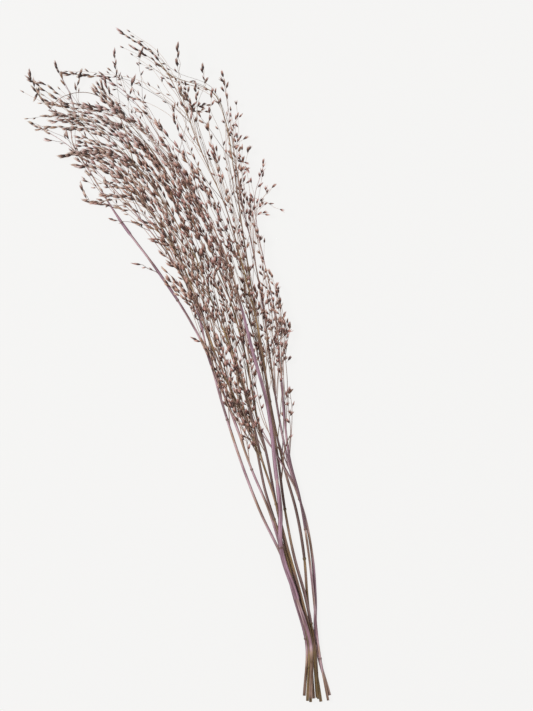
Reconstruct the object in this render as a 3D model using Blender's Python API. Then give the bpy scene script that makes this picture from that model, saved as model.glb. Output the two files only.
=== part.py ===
"""A cut bunch of dried panicum grass: ten stems that lie on their side, each with its nodding panicle."""

import math

import bmesh
import bpy
import numpy as np
from mathutils import Matrix, Vector

MM = 0.001
SEED = 8

# Every length below is in millimetres. The bunch lies along Y, its cut ends at -Y, on the plane Z = 0.
MIDDLE = (3.0, -0.4)  # of the bunch's box, as the routes below are drawn

# Stems
CULM_SPACES = 11  # between the rings of the tube, from the cut end to the neck
PANICLE_SPACES = 12  # and from the neck to the tip
NECK_RADIUS = 0.75  # where the panicle begins
TIP_RADIUS = 0.42
LILAC = (0.31, 0.22, 0.22)
BROWN = (0.24, 0.17, 0.12)
ROUGHNESS = 0.7

# Branches of a panicle
BRANCH_RADII = (0.36, 0.26)
BRANCH_POINTS = 6
BRANCH_LENGTH = (38.0, 118.0)
SHORTEST_BRANCH = 20.0
SPREAD_LENGTH = 80.0  # a branch this long strays as far as its stem's spread
ROOTED_SHARE = 0.86  # of the panicle, from its neck, where branches are rooted
SHORT_OF_TIP = 20.0  # at most, of those that end near the tip
OPENING = 0.85  # below 1, a branch leaves its axis steeply and then runs beside it
CURL = 2.5
BARE_SHARE = 0.22  # of a branch, from its root, with no spikelet
FLOOR_GAP = 0.3  # a branch's centre stays above this height
STRAY_SHIFT = 0.8  # up or down, between tries

# Spikelets
SPIKELET_LENGTH = 4.6
SPIKELET_WIDTH = 2.0
SPIKELET_SIDES = 3
WIDEST_SHARE = 0.42  # of its length, from the root
SPIKELET_LEAN = math.radians(34)
SPIKELET_REST = 0.95  # the lowest height of a spikelet's tip
SPACING = 12.0
STRAY_SPACING = 7.0
UNEVEN = 0.25  # of the spacing
TWIST = 0.7  # radians, about the branch
END_SUNK = 1.0  # of the spikelet that ends a branch

# Lines and the beads that stand for solids while the branches are placed
LINE_STEP = 4.0
CLEARANCE = 0.55  # between the beads of two stems
BEAD_STEP = 1.2
SPIKELET_BEADS = ((0.2, 0.6), (0.45, 0.95), (0.75, 0.6))  # share of the length, radius
REACH = 4.0
TRIES = 40

# For each stem: the route of its culm and panicle axis from the cut end to the tip, the radius at the cut
# end, the length of the panicle along the axis, how many branches it has, how far they stray sideways to
# the left and to the right of the axis, and up or down, and how far past the tip they may run.
STEMS = {
    "stem_01": dict(
        route=[(90, -209, 0.91), (86.6, -174, 0.91), (79.5, -146, 0.91), (70, -120, 0.91),
               (57, -93, 0.91), (46, -65, 1.2), (32, -22, 1.3), (23, 8, 1.4), (12, 29, 1.6), (-9, 61, 2),
               (-32, 92, 2.4), (-50, 121, 2.6), (-62, 142, 2.6), (-61, 164, 2.6), (-71, 186, 2)],
        foot=1.05, panicle=115, branches=4, spread=(3, 3), lift=1, past=-8, colour=LILAC),
    "stem_02": dict(
        route=[(84, -207, 3.3), (85.4, -174, 2.99), (78, -146, 3.3), (70, -117, 3.3), (62, -91, 3.3),
               (51, -65, 3.3), (39, -31, 4), (24, 6, 4.6), (16, 38, 6), (6, 59, 7), (-9, 80, 8),
               (-29, 104, 8.5), (-50, 126, 7), (-69, 142, 4.5), (-85, 151, 3)],
        foot=1.0, panicle=185, branches=9, spread=(4, 8), lift=4, past=5, colour=LILAC),
    "stem_03": dict(
        route=[(86, -210, 5.7), (86.6, -174, 5.07), (79.5, -146, 5.7), (71, -114, 5.7), (60, -80, 5.7),
               (51, -42, 6.4), (38, -15, 8), (29, 6, 10), (20, 30, 12), (12, 54, 14), (-2, 81, 15.5),
               (-24, 112, 15), (-49, 144, 12), (-74, 169, 7.5), (-87, 179, 5)],
        foot=1.0, panicle=262, branches=11, spread=(6, 8), lift=6, past=2, colour=BROWN),
    "stem_04": dict(
        route=[(92, -208, 5.7), (89, -174, 5.07), (82.5, -146, 5.7), (73, -112, 5.7), (65, -82, 6.6),
               (57, -57, 8.6), (51, -31, 10.5), (44, -4, 14), (35, 19, 17.5), (26, 41, 20), (16, 68, 23),
               (-2, 99, 24.5), (-29, 134, 20), (-54, 157, 14), (-72, 168, 9)],
        foot=0.95, panicle=262, branches=11, spread=(7, 8), lift=6, past=5, colour=BROWN),
    "stem_05": dict(
        route=[(88, -211, 3.3), (87.8, -174, 2.99), (81.5, -146, 3.3), (74, -120, 3.3), (67, -90, 3.3),
               (60, -54, 4.1), (54, -31, 5.6), (49, -2, 8), (41, 30, 11), (27, 69, 16), (8, 105, 20),
               (-16, 140, 18), (-33, 161, 13), (-44, 175, 9)],
        foot=1.0, panicle=225, branches=9, spread=(8, 8), lift=6, past=4, colour=BROWN),
    "stem_06": dict(
        route=[(88, -208, 8.4), (87.8, -174, 7.35), (79.5, -146, 8.4), (69, -112, 8.4), (69, -92, 8.4),
               (66, -65, 9.4), (61, -25, 13), (52, 8, 18), (44, 39, 23), (34, 71, 28), (17, 105, 31),
               (-3, 137, 29), (-23, 166, 21), (-41, 181, 15)],
        foot=1.35, panicle=195, branches=9, spread=(9, 9), lift=6, past=5, colour=LILAC),
    "stem_07": dict(
        route=[(93, -209, 3.3), (90.2, -174, 2.99), (85, -146, 3.3), (78, -121, 3.3), (72, -91, 3.3),
               (68, -62, 4.2), (62, -21, 8), (56, 19, 14), (46, 60, 20), (34, 101, 25), (19, 135, 26),
               (6, 168, 22), (-9, 193, 16), (-29, 208, 10)],
        foot=1.0, panicle=250, branches=10, spread=(7, 7), lift=6, past=4, colour=BROWN),
    "stem_08": dict(
        route=[(94.5, -211, 0.91), (89, -174, 0.91), (86, -146, 0.91), (84, -120, 0.91), (79, -91, 1.3),
               (72, -66, 1.6), (65, -35, 3), (58, 4, 6), (51, 48, 10), (44, 94, 14), (39, 129, 15),
               (35, 152, 14), (27, 171, 12), (17, 176, 10), (2, 181, 8.5), (-11, 192, 7), (-22, 199, 5)],
        foot=1.05, panicle=240, branches=9, spread=(7, 4), lift=5, past=3, colour=BROWN),
    "stem_09": dict(
        route=[(100, -207, 0.91), (91.4, -174, 0.91), (91, -146, 0.91), (89, -119, 0.91), (84, -93, 0.91),
               (77, -72, 1.3), (70, -42, 1.6), (64, -6, 2.2), (58, 38, 3.5), (51, 76, 5), (44, 107, 6),
               (40, 135, 6), (37, 157, 3), (34, 176, 1.35)],
        foot=1.05, panicle=200, branches=7, spread=(6, 5), lift=4, past=0, colour=LILAC),
    "stem_10": dict(
        route=[(99, -210, 3.3), (92.6, -174, 2.99), (90, -146, 3.3), (86, -112, 3.3), (81, -82, 3.3),
               (75, -59, 3.8), (72, -37, 4.1), (69, 1, 5.5), (65, 36, 8), (59, 65, 9.5), (54, 90, 8),
               (53, 107, 4), (57, 121, 1.5)],
        foot=0.85, panicle=160, branches=6, spread=(5, 3), lift=4, past=-3, colour=LILAC),
}

# Branches that stand out from the mass: the stem that bears each and its route from the axis outward.
STRAYS = [
    ("stem_01", [(-6, 56, 1.8), (-14, 62, 3.0), (-22, 64, 4.0)]),
    ("stem_02", [(-26, 101, 8.5), (-40, 101, 7.0), (-50, 103, 5.0), (-55, 111, 4.0)]),
    ("stem_02", [(-12, 85, 8.0), (-26, 90, 6.0), (-36, 92, 5.0)]),
    ("stem_04", [(-41, 146, 17.0), (-61, 155, 13.0), (-78, 156, 10.0), (-89, 155, 8.0)]),
    ("stem_06", [(-26, 168, 21.0), (-32, 180, 24.0), (-34, 194, 24.0)]),
    ("stem_06", [(-11, 149, 27.0), (-16, 166, 30.0), (-18, 180, 27.0), (-19, 192, 22.0)]),
    ("stem_07", [(11, 155, 24.5), (-2, 168, 28.0), (-17, 176, 28.0), (-32, 181, 25.0), (-49, 183, 20.0),
                 (-64, 184, 16.0)]),
    ("stem_08", [(6, 180, 9.0), (6, 188, 12.0), (5, 196, 13.0)]),
    ("stem_08", [(22, 174, 11.0), (22, 180, 13.0), (21, 186, 13.0)]),
    ("stem_09", [(40, 135, 6.0), (40, 146, 8.0), (42, 156, 8.0)]),
    ("stem_10", [(70, -12, 5.0), (71, 12, 7.0), (71, 30, 8.0), (68, 46, 8.0)]),
    ("stem_10", [(53, 94, 8.0), (58, 104, 8.0), (64, 112, 6.0)]),
    ("stem_10", [(53, 106, 6.0), (60, 102, 9.0), (69, 98, 10.0)]),
    ("stem_10", [(74, -56, 3.8), (75, -38, 5.0), (74, -17, 6.0)]),
]


# Lines

def curve_through(points):
    """Even points on a smooth curve through the given ones: a cubic over each span, its slope at each
    point taken from the neighbours on both sides."""
    points = np.array(points, float)
    knots = np.concatenate([[0.0], np.cumsum(np.linalg.norm(np.diff(points, axis=0), axis=1))])
    slopes = np.gradient(points, knots, axis=0)
    at = np.linspace(0.0, knots[-1], int(knots[-1]))
    span = np.clip(np.searchsorted(knots, at, side="right") - 1, 0, len(points) - 2)
    width = (knots[span + 1] - knots[span])[:, None]
    t = (at - knots[span])[:, None] / width
    fine = (1 + 2 * t) * (1 - t) ** 2 * points[span] + t * (1 - t) ** 2 * width * slopes[span]
    fine += t ** 2 * (3 - 2 * t) * points[span + 1] + t ** 2 * (t - 1) * width * slopes[span + 1]
    reach = np.concatenate([[0.0], np.cumsum(np.linalg.norm(np.diff(fine, axis=0), axis=1))])
    even = np.linspace(0.0, reach[-1], int(reach[-1] / LINE_STEP) + 1)
    return even, np.stack([np.interp(even, reach, fine[:, i]) for i in range(3)], axis=1)


def along(line, distance):
    """Positions at distances along a line, which runs straight on past its tip."""
    reach, points = line
    inside = np.stack([np.interp(distance, reach, points[:, i]) for i in range(3)], axis=1)
    onward = points[-1] - points[-3]
    onward /= np.linalg.norm(onward)
    return inside + np.maximum(distance - reach[-1], 0.0)[:, None] * onward


def nearest(line, place):
    """The distance along a line at which it passes nearest to a place."""
    reach = np.arange(0.0, line[0][-1], 0.5)
    return reach[np.argmin(np.linalg.norm(along(line, reach) - place, axis=1))]


def rightward(line, distance):
    """Level unit vectors square to the line, to the right of one who looks towards its tip."""
    step = along(line, distance + LINE_STEP) - along(line, distance - LINE_STEP)
    level = np.stack([step[:, 1], -step[:, 0], np.zeros(len(step))], axis=1)
    return level / np.linalg.norm(level, axis=1)[:, None]


def settled(height):
    """Heights eased up where they would sink below the lowest place of a branch."""
    return FLOOR_GAP + np.logaddexp(0.0, height - FLOOR_GAP)


def kept_up(roots, ways):
    """Directions turned up where a spikelet's tip would sink below its lowest place."""
    rise = np.maximum(ways[:, 2], (SPIKELET_REST - roots[:, 2]) / SPIKELET_LENGTH)
    level = ways[:, :2] / np.linalg.norm(ways[:, :2], axis=1)[:, None]
    return np.column_stack([level * np.sqrt(1 - rise ** 2)[:, None], rise])


# Growing a panicle

def branch_line(spec, start, length, aside, lift, curl):
    """A branch follows its axis onward and draws away from it: aside and lift are how far it ends from the
    axis, and curl bends its outer part sideways. Its root is on the axis as the tube has it."""
    axis = spec["axis"]
    share = np.linspace(0.0, 1.0, BRANCH_POINTS)
    distance = start + share * length
    away = aside * share ** OPENING + curl * share ** 3
    points = along(axis, distance) + rightward(axis, distance) * away[:, None]
    points[1:, 2] = settled(points[1:, 2] + lift * share[1:] ** OPENING)
    points[0] = along(spec["rings"], distance[:1])[0]
    reach = np.concatenate([[0.0], np.cumsum(np.linalg.norm(np.diff(points, axis=0), axis=1))])
    return reach, points


def stray_line(spec, route, attempt):
    """A branch along a route of its own. Each further attempt passes a little higher or lower."""
    points = np.array(route, float)
    points[1:, 2] += STRAY_SHIFT * ((attempt + 1) // 2) * (-1) ** attempt
    reach, points = curve_through(points)
    places = np.linspace(0.0, reach[-1], BRANCH_POINTS)
    points = along((reach, points), places)
    points[1:, 2] = settled(points[1:, 2])
    points[0] = along(spec["rings"], nearest(spec["axis"], points[0])[None])[0]
    return places, points


def spikelets_on(branch, spacing, rng):
    """Roots and directions of a branch's spikelets: they alternate up its outer part, and one ends it."""
    reach, points = branch
    count = int((1 - BARE_SHARE) * reach[-1] / spacing)
    places = reach[-1] - spacing * np.arange(count + 1)
    places[0] -= END_SUNK
    places[1:] += rng.uniform(-UNEVEN, UNEVEN, count) * spacing
    roots = along(branch, places)
    ahead = along(branch, places + 1.0) - along(branch, places - 1.0)
    ahead /= np.linalg.norm(ahead, axis=1)[:, None]
    right = rightward(branch, places)
    above = np.cross(right, ahead)
    turn = np.arange(count + 1) * math.pi + rng.normal(0.0, TWIST, count + 1)
    outward = right * np.cos(turn)[:, None] + above * np.sin(turn)[:, None]
    lean = np.full(count + 1, SPIKELET_LEAN)
    lean[0] = 0.0
    ways = ahead * np.cos(lean)[:, None] + outward * np.sin(lean)[:, None]
    return roots, kept_up(roots, ways)


def line_beads(line, reaches, radii):
    """Balls strung along a line: rows of x, y, z and radius."""
    places = np.linspace(0.0, line[0][-1], int(line[0][-1] / BEAD_STEP) + 2)
    return np.column_stack([along(line, places), np.interp(places, reaches, radii)])


def spikelet_beads(roots, ways):
    """Three balls that fill each spikelet."""
    rows = []
    for share, radius in SPIKELET_BEADS:
        centres = roots + ways * SPIKELET_LENGTH * share
        rows.append(np.column_stack([centres, np.full(len(roots), radius)]))
    return np.concatenate(rows)


def clear_of(beads, others):
    """True where no bead comes within the clearance of another stem's."""
    low = beads[:, :3].min(axis=0) - REACH
    high = beads[:, :3].max(axis=0) + REACH
    near = others[np.all((others[:, :3] > low) & (others[:, :3] < high), axis=1)]
    if len(near) == 0:
        return True
    apart = np.linalg.norm(beads[:, None, :3] - near[None, :, :3], axis=2)
    return (apart - beads[:, None, 3] - near[None, :, 3]).min() > CLEARANCE


def neck_of(spec):
    """How far up its axis a stem's panicle begins, and the whole length of the axis."""
    total = spec["axis"][0][-1]
    return total - spec["panicle"], total


def axis_rings(spec):
    """The axis as the tube has it, fewer rings along the culm than along the panicle, and its radii: thick
    to the neck, then tapering along the panicle."""
    neck, total = neck_of(spec)
    culm = np.linspace(0.0, neck, CULM_SPACES + 1)
    panicle = np.linspace(neck, total, PANICLE_SPACES + 1)
    places = np.concatenate([culm, panicle[1:]])
    radii = np.interp(places, [0.0, neck, total], [spec["foot"], NECK_RADIUS, TIP_RADIUS])
    return (places, along(spec["axis"], places)), radii


def regular_tries(name, number):
    """Tries at a stem's branch of that number, each with its spikelets."""
    spec = STEMS[name]
    neck, total = neck_of(spec)
    left, right = spec["spread"]
    side = right if number % 2 else -left
    for attempt in range(TRIES):
        rng = np.random.default_rng([SEED, list(STEMS).index(name), number, attempt])
        rank = (number + rng.uniform(0.1, 0.9)) / spec["branches"]
        start = neck + rank * ROOTED_SHARE * spec["panicle"]
        longest = total + spec["past"] - rng.uniform(0.0, SHORT_OF_TIP) - start
        length = max(min(rng.uniform(*BRANCH_LENGTH), longest), SHORTEST_BRANCH)
        aside = side * rng.uniform(0.35, 1.0) * length / SPREAD_LENGTH
        lift = spec["lift"] * rng.uniform(-1.0, 1.0)
        branch = branch_line(spec, start, length, aside, lift, rng.normal(0.0, CURL))
        yield branch, spikelets_on(branch, SPACING, rng)


def stray_tries(name, route, number):
    """Tries at a branch with a route of its own, each with its spikelets."""
    for attempt in range(TRIES):
        rng = np.random.default_rng([SEED, number, attempt])
        branch = stray_line(STEMS[name], route, attempt)
        yield branch, spikelets_on(branch, STRAY_SPACING, rng)


def plant(name, tries, beads):
    """Adds to a stem the first try that stays clear of all other stems."""
    others = np.concatenate([row for key, rows in beads.items() if key != name for row in rows])
    for branch, spikelets in tries:
        strung = line_beads(branch, (0.0, branch[0][-1]), BRANCH_RADII)
        strung = np.concatenate([strung, spikelet_beads(*spikelets)])
        if clear_of(strung, others):
            beads[name].append(strung)
            STEMS[name]["grown"].append((branch, spikelets))
            return
    print("no room for a branch of", name)


def grow_all():
    """Every stem's axis, then the stray branches, then the regular ones, a branch a stem at a time."""
    beads = {}
    for name, spec in STEMS.items():
        spec["axis"] = curve_through(spec["route"])
        spec["rings"], spec["radii"] = axis_rings(spec)
        spec["grown"] = []
        beads[name] = [line_beads(spec["rings"], spec["rings"][0], spec["radii"])]
    for number, (name, route) in enumerate(STRAYS):
        plant(name, stray_tries(name, route, number), beads)
    for number in range(max(spec["branches"] for spec in STEMS.values())):
        for name, spec in STEMS.items():
            if number < spec["branches"]:
                plant(name, regular_tries(name, number), beads)


# Meshes

def tube(name, points, radii, bevel_resolution, collection):
    """A tube along points, made by a bevelled curve and turned into a mesh with its caps welded."""
    curve = bpy.data.curves.new(name, "CURVE")
    curve.dimensions = "3D"
    curve.bevel_depth = MM
    curve.bevel_resolution = bevel_resolution
    curve.use_fill_caps = True
    spline = curve.splines.new("POLY")
    spline.points.add(len(points) - 1)
    for point, place, radius in zip(spline.points, points, radii):
        point.co = (*(place * MM), 1.0)
        point.radius = radius
    source = bpy.data.objects.new(name, curve)
    collection.objects.link(source)
    bpy.context.view_layer.update()
    shape = source.evaluated_get(bpy.context.evaluated_depsgraph_get())
    mesh = bpy.data.meshes.new_from_object(shape)
    bpy.data.objects.remove(source)
    bpy.data.curves.remove(curve)
    work = bmesh.new()
    work.from_mesh(mesh)
    bmesh.ops.remove_doubles(work, verts=work.verts, dist=1e-6)
    bmesh.ops.recalc_face_normals(work, faces=work.faces)
    work.to_mesh(mesh)
    work.free()
    piece = bpy.data.objects.new(name, mesh)
    collection.objects.link(piece)
    return piece


def spikelet_mesh():
    """A pointed husk that stands on its root: a ring of corners between two points."""
    ring = []
    for corner in range(SPIKELET_SIDES):
        turn = 2 * math.pi * corner / SPIKELET_SIDES
        across = SPIKELET_WIDTH / 2
        ring.append((across * math.cos(turn), across * math.sin(turn), SPIKELET_LENGTH * WIDEST_SHARE))
    points = [(0, 0, 0), *ring, (0, 0, SPIKELET_LENGTH)]
    faces = []
    for corner in range(1, SPIKELET_SIDES + 1):
        after = corner % SPIKELET_SIDES + 1
        faces.append((0, after, corner))
        faces.append((SPIKELET_SIDES + 1, corner, after))
    mesh = bpy.data.meshes.new("spikelet")
    mesh.from_pydata([Vector(point) * MM for point in points], [], faces)
    return mesh


def placed(name, mesh, root, way, collection):
    """A copy of a mesh with its foot at a root and its length along a direction."""
    piece = bpy.data.objects.new(name, mesh)
    turn = Vector(way).to_track_quat("Z", "Y").to_matrix().to_4x4()
    piece.matrix_world = Matrix.Translation(Vector(root) * MM) @ turn
    collection.objects.link(piece)
    return piece


def fuse(base, collection):
    """The base and all of a collection as one solid."""
    union = base.modifiers.new("union", "BOOLEAN")
    union.operation = "UNION"
    union.operand_type = "COLLECTION"
    union.collection = collection
    union.solver = "EXACT"
    bpy.context.view_layer.update()
    shape = base.evaluated_get(bpy.context.evaluated_depsgraph_get())
    fused = bpy.data.meshes.new_from_object(shape)
    base.modifiers.remove(union)
    base.data = fused
    for piece in list(collection.objects):
        bpy.data.objects.remove(piece)


def straw(name, colour):
    """Dry straw of one colour."""
    material = bpy.data.materials.new(name)
    material.use_nodes = True
    shader = material.node_tree.nodes["Principled BSDF"]
    shader.inputs["Base Color"].default_value = (*colour, 1.0)
    shader.inputs["Roughness"].default_value = ROUGHNESS
    shader.inputs["Metallic"].default_value = 0.0
    return material


def build_stem(name, spec, husk, bunch, repeats):
    """One stem: its axis with all its branches and spikelets fused to it."""
    stem = tube(name, spec["rings"][1], spec["radii"], 1, bunch)
    for branch, (roots, ways) in spec["grown"]:
        radii = np.linspace(*BRANCH_RADII, BRANCH_POINTS)
        tube("branch", branch[1], radii, 0, repeats)
        for root, way in zip(roots, ways):
            placed("spikelet", husk, root, way, repeats)
    fuse(stem, repeats)
    stem.data.materials.clear()
    stem.data.materials.append(straw(name, spec["colour"]))
    print(name, len(spec["grown"]), "branches")
    return stem


def set_down(stems):
    """Moves the bunch so that its box is centred on the origin and its lowest corner is on the surface."""
    lowest = min(vertex.co.z for stem in stems for vertex in stem.data.vertices)
    for stem in stems:
        stem.data.transform(Matrix.Translation((-MIDDLE[0] * MM, -MIDDLE[1] * MM, -lowest)))


def main():
    for old in list(bpy.data.objects):
        bpy.data.objects.remove(old)
    bunch = bpy.data.collections.new("panicum_bundle")
    repeats = bpy.data.collections.new("repeats")
    bpy.context.scene.collection.children.link(bunch)
    bpy.context.scene.collection.children.link(repeats)
    grow_all()
    husk = spikelet_mesh()
    set_down([build_stem(name, spec, husk, bunch, repeats) for name, spec in STEMS.items()])


main()
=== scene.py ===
# %% [markdown]
# # A bundle of dried panicum grass
#
# Panicum, or switchgrass, is cut when its seed is ripe and dried in bunches. This bunch has ten stems. They
# lie on their side on a pale floor, gathered near the cut ends, and each opens into a long nodding panicle:
# an axis with fine branches, finer branchlets, and a few thousand small husked seeds, the spikelets.
# The solids of the ten stems come first. Everything below is drawn in their frame.

# %% Load the imported stems
import math

import bpy
import numpy as np
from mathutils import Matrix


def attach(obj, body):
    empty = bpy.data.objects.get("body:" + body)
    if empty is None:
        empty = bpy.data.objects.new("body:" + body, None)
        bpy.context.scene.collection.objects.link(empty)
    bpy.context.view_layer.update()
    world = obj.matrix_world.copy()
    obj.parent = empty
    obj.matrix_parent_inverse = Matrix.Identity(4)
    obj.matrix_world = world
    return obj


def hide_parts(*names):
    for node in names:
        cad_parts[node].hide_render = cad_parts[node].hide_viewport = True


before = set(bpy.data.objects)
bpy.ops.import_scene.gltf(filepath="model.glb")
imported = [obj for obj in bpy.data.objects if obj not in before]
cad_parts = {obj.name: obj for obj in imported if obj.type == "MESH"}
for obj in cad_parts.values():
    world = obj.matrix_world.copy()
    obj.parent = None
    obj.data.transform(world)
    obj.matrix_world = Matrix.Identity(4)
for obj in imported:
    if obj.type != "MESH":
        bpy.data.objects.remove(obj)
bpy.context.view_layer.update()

MM = 0.001

# %% [markdown]
# ## The camera
#
# The bunch lies down, so the camera looks straight down on it. A long lens keeps the near and the far
# stems at one scale. The frame is 711 pixels high and a pixel is 0.625 mm, which fixes the camera's height
# for a given lens. The helper turns a pixel of the frame into a place on the floor, in millimetres: it is
# used wherever a twig or a sheath has a known place.

# %% Camera over the bunch
PIXEL = 0.625
FRAME_PIXELS = (533, 711)
ROUTE_PIXEL = (170, 366)  # the pixel over the point that the routes below are measured from
MIDDLE = (3.0, -0.4)  # the bunch's middle, as the routes have it
LENS = 150.0
SENSOR = 36.0
MEAN_HEIGHT = 12.0


def at_pixel(across, down):
    """The place under a pixel as the routes have it: PIXEL times the steps right and up from ROUTE_PIXEL."""
    return (across - ROUTE_PIXEL[0]) * PIXEL, (ROUTE_PIXEL[1] - down) * PIXEL


camera_data = bpy.data.cameras.new("camera")
camera_data.lens = LENS
camera_data.sensor_width = SENSOR
camera = bpy.data.objects.new("camera", camera_data)
bpy.context.scene.collection.objects.link(camera)
bpy.context.scene.camera = camera
over_x, over_y = at_pixel(FRAME_PIXELS[0] / 2, FRAME_PIXELS[1] / 2)
height = FRAME_PIXELS[1] * PIXEL * LENS / SENSOR + MEAN_HEIGHT
camera.location = ((over_x - MIDDLE[0]) * MM, (over_y - MIDDLE[1]) * MM, height * MM)
print("camera", round(height), "mm above the floor")

# %% [markdown]
# ## Ten stems
#
# Each stem is known by the route of its culm and of its panicle's axis, from the cut end to the tip. The
# routes are the ones that the solids follow, so what is drawn along them lies where the solids are. Beside
# the route stand the radius at the cut end, the length of the panicle, the number of its main branches, how
# far they stray to the left, to the right and up, and how far past the tip they may run.

# %% Routes of the stems, in millimetres
SEED = 8
CULM_SPACES = 11
PANICLE_SPACES = 12
NECK_RADIUS = 0.75
TIP_RADIUS = 0.42

STEMS = {
    "stem_01": dict(
        route=[(90, -209, 0.91), (86.6, -174, 0.91), (79.5, -146, 0.91), (70, -120, 0.91),
               (57, -93, 0.91), (46, -65, 1.2), (32, -22, 1.3), (23, 8, 1.4), (12, 29, 1.6), (-9, 61, 2),
               (-32, 92, 2.4), (-50, 121, 2.6), (-62, 142, 2.6), (-61, 164, 2.6), (-71, 186, 2)],
        foot=1.05, panicle=115, branches=4, spread=(3, 3), lift=1, past=-8, slot="lilac_straw"),
    "stem_02": dict(
        route=[(84, -207, 3.3), (85.4, -174, 2.99), (78, -146, 3.3), (70, -117, 3.3), (62, -91, 3.3),
               (51, -65, 3.3), (39, -31, 4), (24, 6, 4.6), (16, 38, 6), (6, 59, 7), (-9, 80, 8),
               (-29, 104, 8.5), (-50, 126, 7), (-69, 142, 4.5), (-85, 151, 3)],
        foot=1.0, panicle=185, branches=9, spread=(4, 8), lift=4, past=5, slot="lilac_straw"),
    "stem_03": dict(
        route=[(86, -210, 5.7), (86.6, -174, 5.07), (79.5, -146, 5.7), (71, -114, 5.7), (60, -80, 5.7),
               (51, -42, 6.4), (38, -15, 8), (29, 6, 10), (20, 30, 12), (12, 54, 14), (-2, 81, 15.5),
               (-24, 112, 15), (-49, 144, 12), (-74, 169, 7.5), (-87, 179, 5)],
        foot=1.0, panicle=262, branches=11, spread=(6, 8), lift=6, past=2, slot="brown_straw"),
    "stem_04": dict(
        route=[(92, -208, 5.7), (89, -174, 5.07), (82.5, -146, 5.7), (73, -112, 5.7), (65, -82, 6.6),
               (57, -57, 8.6), (51, -31, 10.5), (44, -4, 14), (35, 19, 17.5), (26, 41, 20), (16, 68, 23),
               (-2, 99, 24.5), (-29, 134, 20), (-54, 157, 14), (-72, 168, 9)],
        foot=0.95, panicle=262, branches=11, spread=(7, 8), lift=6, past=5, slot="brown_straw"),
    "stem_05": dict(
        route=[(88, -211, 3.3), (87.8, -174, 2.99), (81.5, -146, 3.3), (74, -120, 3.3), (67, -90, 3.3),
               (60, -54, 4.1), (54, -31, 5.6), (49, -2, 8), (41, 30, 11), (27, 69, 16), (8, 105, 20),
               (-16, 140, 18), (-33, 161, 13), (-44, 175, 9)],
        foot=1.0, panicle=225, branches=9, spread=(8, 8), lift=6, past=4, slot="brown_straw"),
    "stem_06": dict(
        route=[(88, -208, 8.4), (87.8, -174, 7.35), (79.5, -146, 8.4), (69, -112, 8.4), (69, -92, 8.4),
               (66, -65, 9.4), (61, -25, 13), (52, 8, 18), (44, 39, 23), (34, 71, 28), (17, 105, 31),
               (-3, 137, 29), (-23, 166, 21), (-41, 181, 15)],
        foot=1.35, panicle=195, branches=9, spread=(9, 9), lift=6, past=5, slot="lilac_straw"),
    "stem_07": dict(
        route=[(93, -209, 3.3), (90.2, -174, 2.99), (85, -146, 3.3), (78, -121, 3.3), (72, -91, 3.3),
               (68, -62, 4.2), (62, -21, 8), (56, 19, 14), (46, 60, 20), (34, 101, 25), (19, 135, 26),
               (6, 168, 22), (-9, 193, 16), (-29, 208, 10)],
        foot=1.0, panicle=250, branches=10, spread=(7, 7), lift=6, past=4, slot="brown_straw"),
    "stem_08": dict(
        route=[(94.5, -211, 0.91), (89, -174, 0.91), (86, -146, 0.91), (84, -120, 0.91), (79, -91, 1.3),
               (72, -66, 1.6), (65, -35, 3), (58, 4, 6), (51, 48, 10), (44, 94, 14), (39, 129, 15),
               (35, 152, 14), (27, 171, 12), (17, 176, 10), (2, 181, 8.5), (-11, 192, 7), (-22, 199, 5)],
        foot=1.05, panicle=240, branches=9, spread=(7, 4), lift=5, past=3, slot="brown_straw"),
    "stem_09": dict(
        route=[(100, -207, 0.91), (91.4, -174, 0.91), (91, -146, 0.91), (89, -119, 0.91), (84, -93, 0.91),
               (77, -72, 1.3), (70, -42, 1.6), (64, -6, 2.2), (58, 38, 3.5), (51, 76, 5), (44, 107, 6),
               (40, 135, 6), (37, 157, 3), (34, 176, 1.35)],
        foot=1.05, panicle=200, branches=7, spread=(6, 5), lift=4, past=0, slot="lilac_straw"),
    "stem_10": dict(
        route=[(99, -210, 3.3), (92.6, -174, 2.99), (90, -146, 3.3), (86, -112, 3.3), (81, -82, 3.3),
               (75, -59, 3.8), (72, -37, 4.1), (69, 1, 5.5), (65, 36, 8), (59, 65, 9.5), (54, 90, 8),
               (53, 107, 4), (57, 121, 1.5)],
        foot=0.85, panicle=160, branches=6, spread=(5, 3), lift=4, past=-3, slot="lilac_straw"),
}

# Branches that stand out from the mass: the stem that bears each and its route from the axis outward.
STRAYS = [
    ("stem_01", [(-6, 56, 1.8), (-14, 62, 3.0), (-22, 64, 4.0)]),
    ("stem_02", [(-26, 101, 8.5), (-40, 101, 7.0), (-50, 103, 5.0), (-55, 111, 4.0)]),
    ("stem_02", [(-12, 85, 8.0), (-26, 90, 6.0), (-36, 92, 5.0)]),
    ("stem_04", [(-41, 146, 17.0), (-61, 155, 13.0), (-78, 156, 10.0), (-89, 155, 8.0)]),
    ("stem_06", [(-26, 168, 21.0), (-32, 180, 24.0), (-34, 194, 24.0)]),
    ("stem_06", [(-11, 149, 27.0), (-16, 166, 30.0), (-18, 180, 27.0), (-19, 192, 22.0)]),
    ("stem_07", [(11, 155, 24.5), (-2, 168, 28.0), (-17, 176, 28.0), (-32, 181, 25.0), (-49, 183, 20.0),
                 (-64, 184, 16.0)]),
    ("stem_08", [(6, 180, 9.0), (6, 188, 12.0), (5, 196, 13.0)]),
    ("stem_08", [(22, 174, 11.0), (22, 180, 13.0), (21, 186, 13.0)]),
    ("stem_09", [(40, 135, 6.0), (40, 146, 8.0), (42, 156, 8.0)]),
    ("stem_10", [(70, -12, 5.0), (71, 12, 7.0), (71, 30, 8.0), (68, 46, 8.0)]),
    ("stem_10", [(53, 94, 8.0), (58, 104, 8.0), (64, 112, 6.0)]),
    ("stem_10", [(53, 106, 6.0), (60, 102, 9.0), (69, 98, 10.0)]),
    ("stem_10", [(74, -56, 3.8), (75, -38, 5.0), (74, -17, 6.0)]),
]
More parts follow.
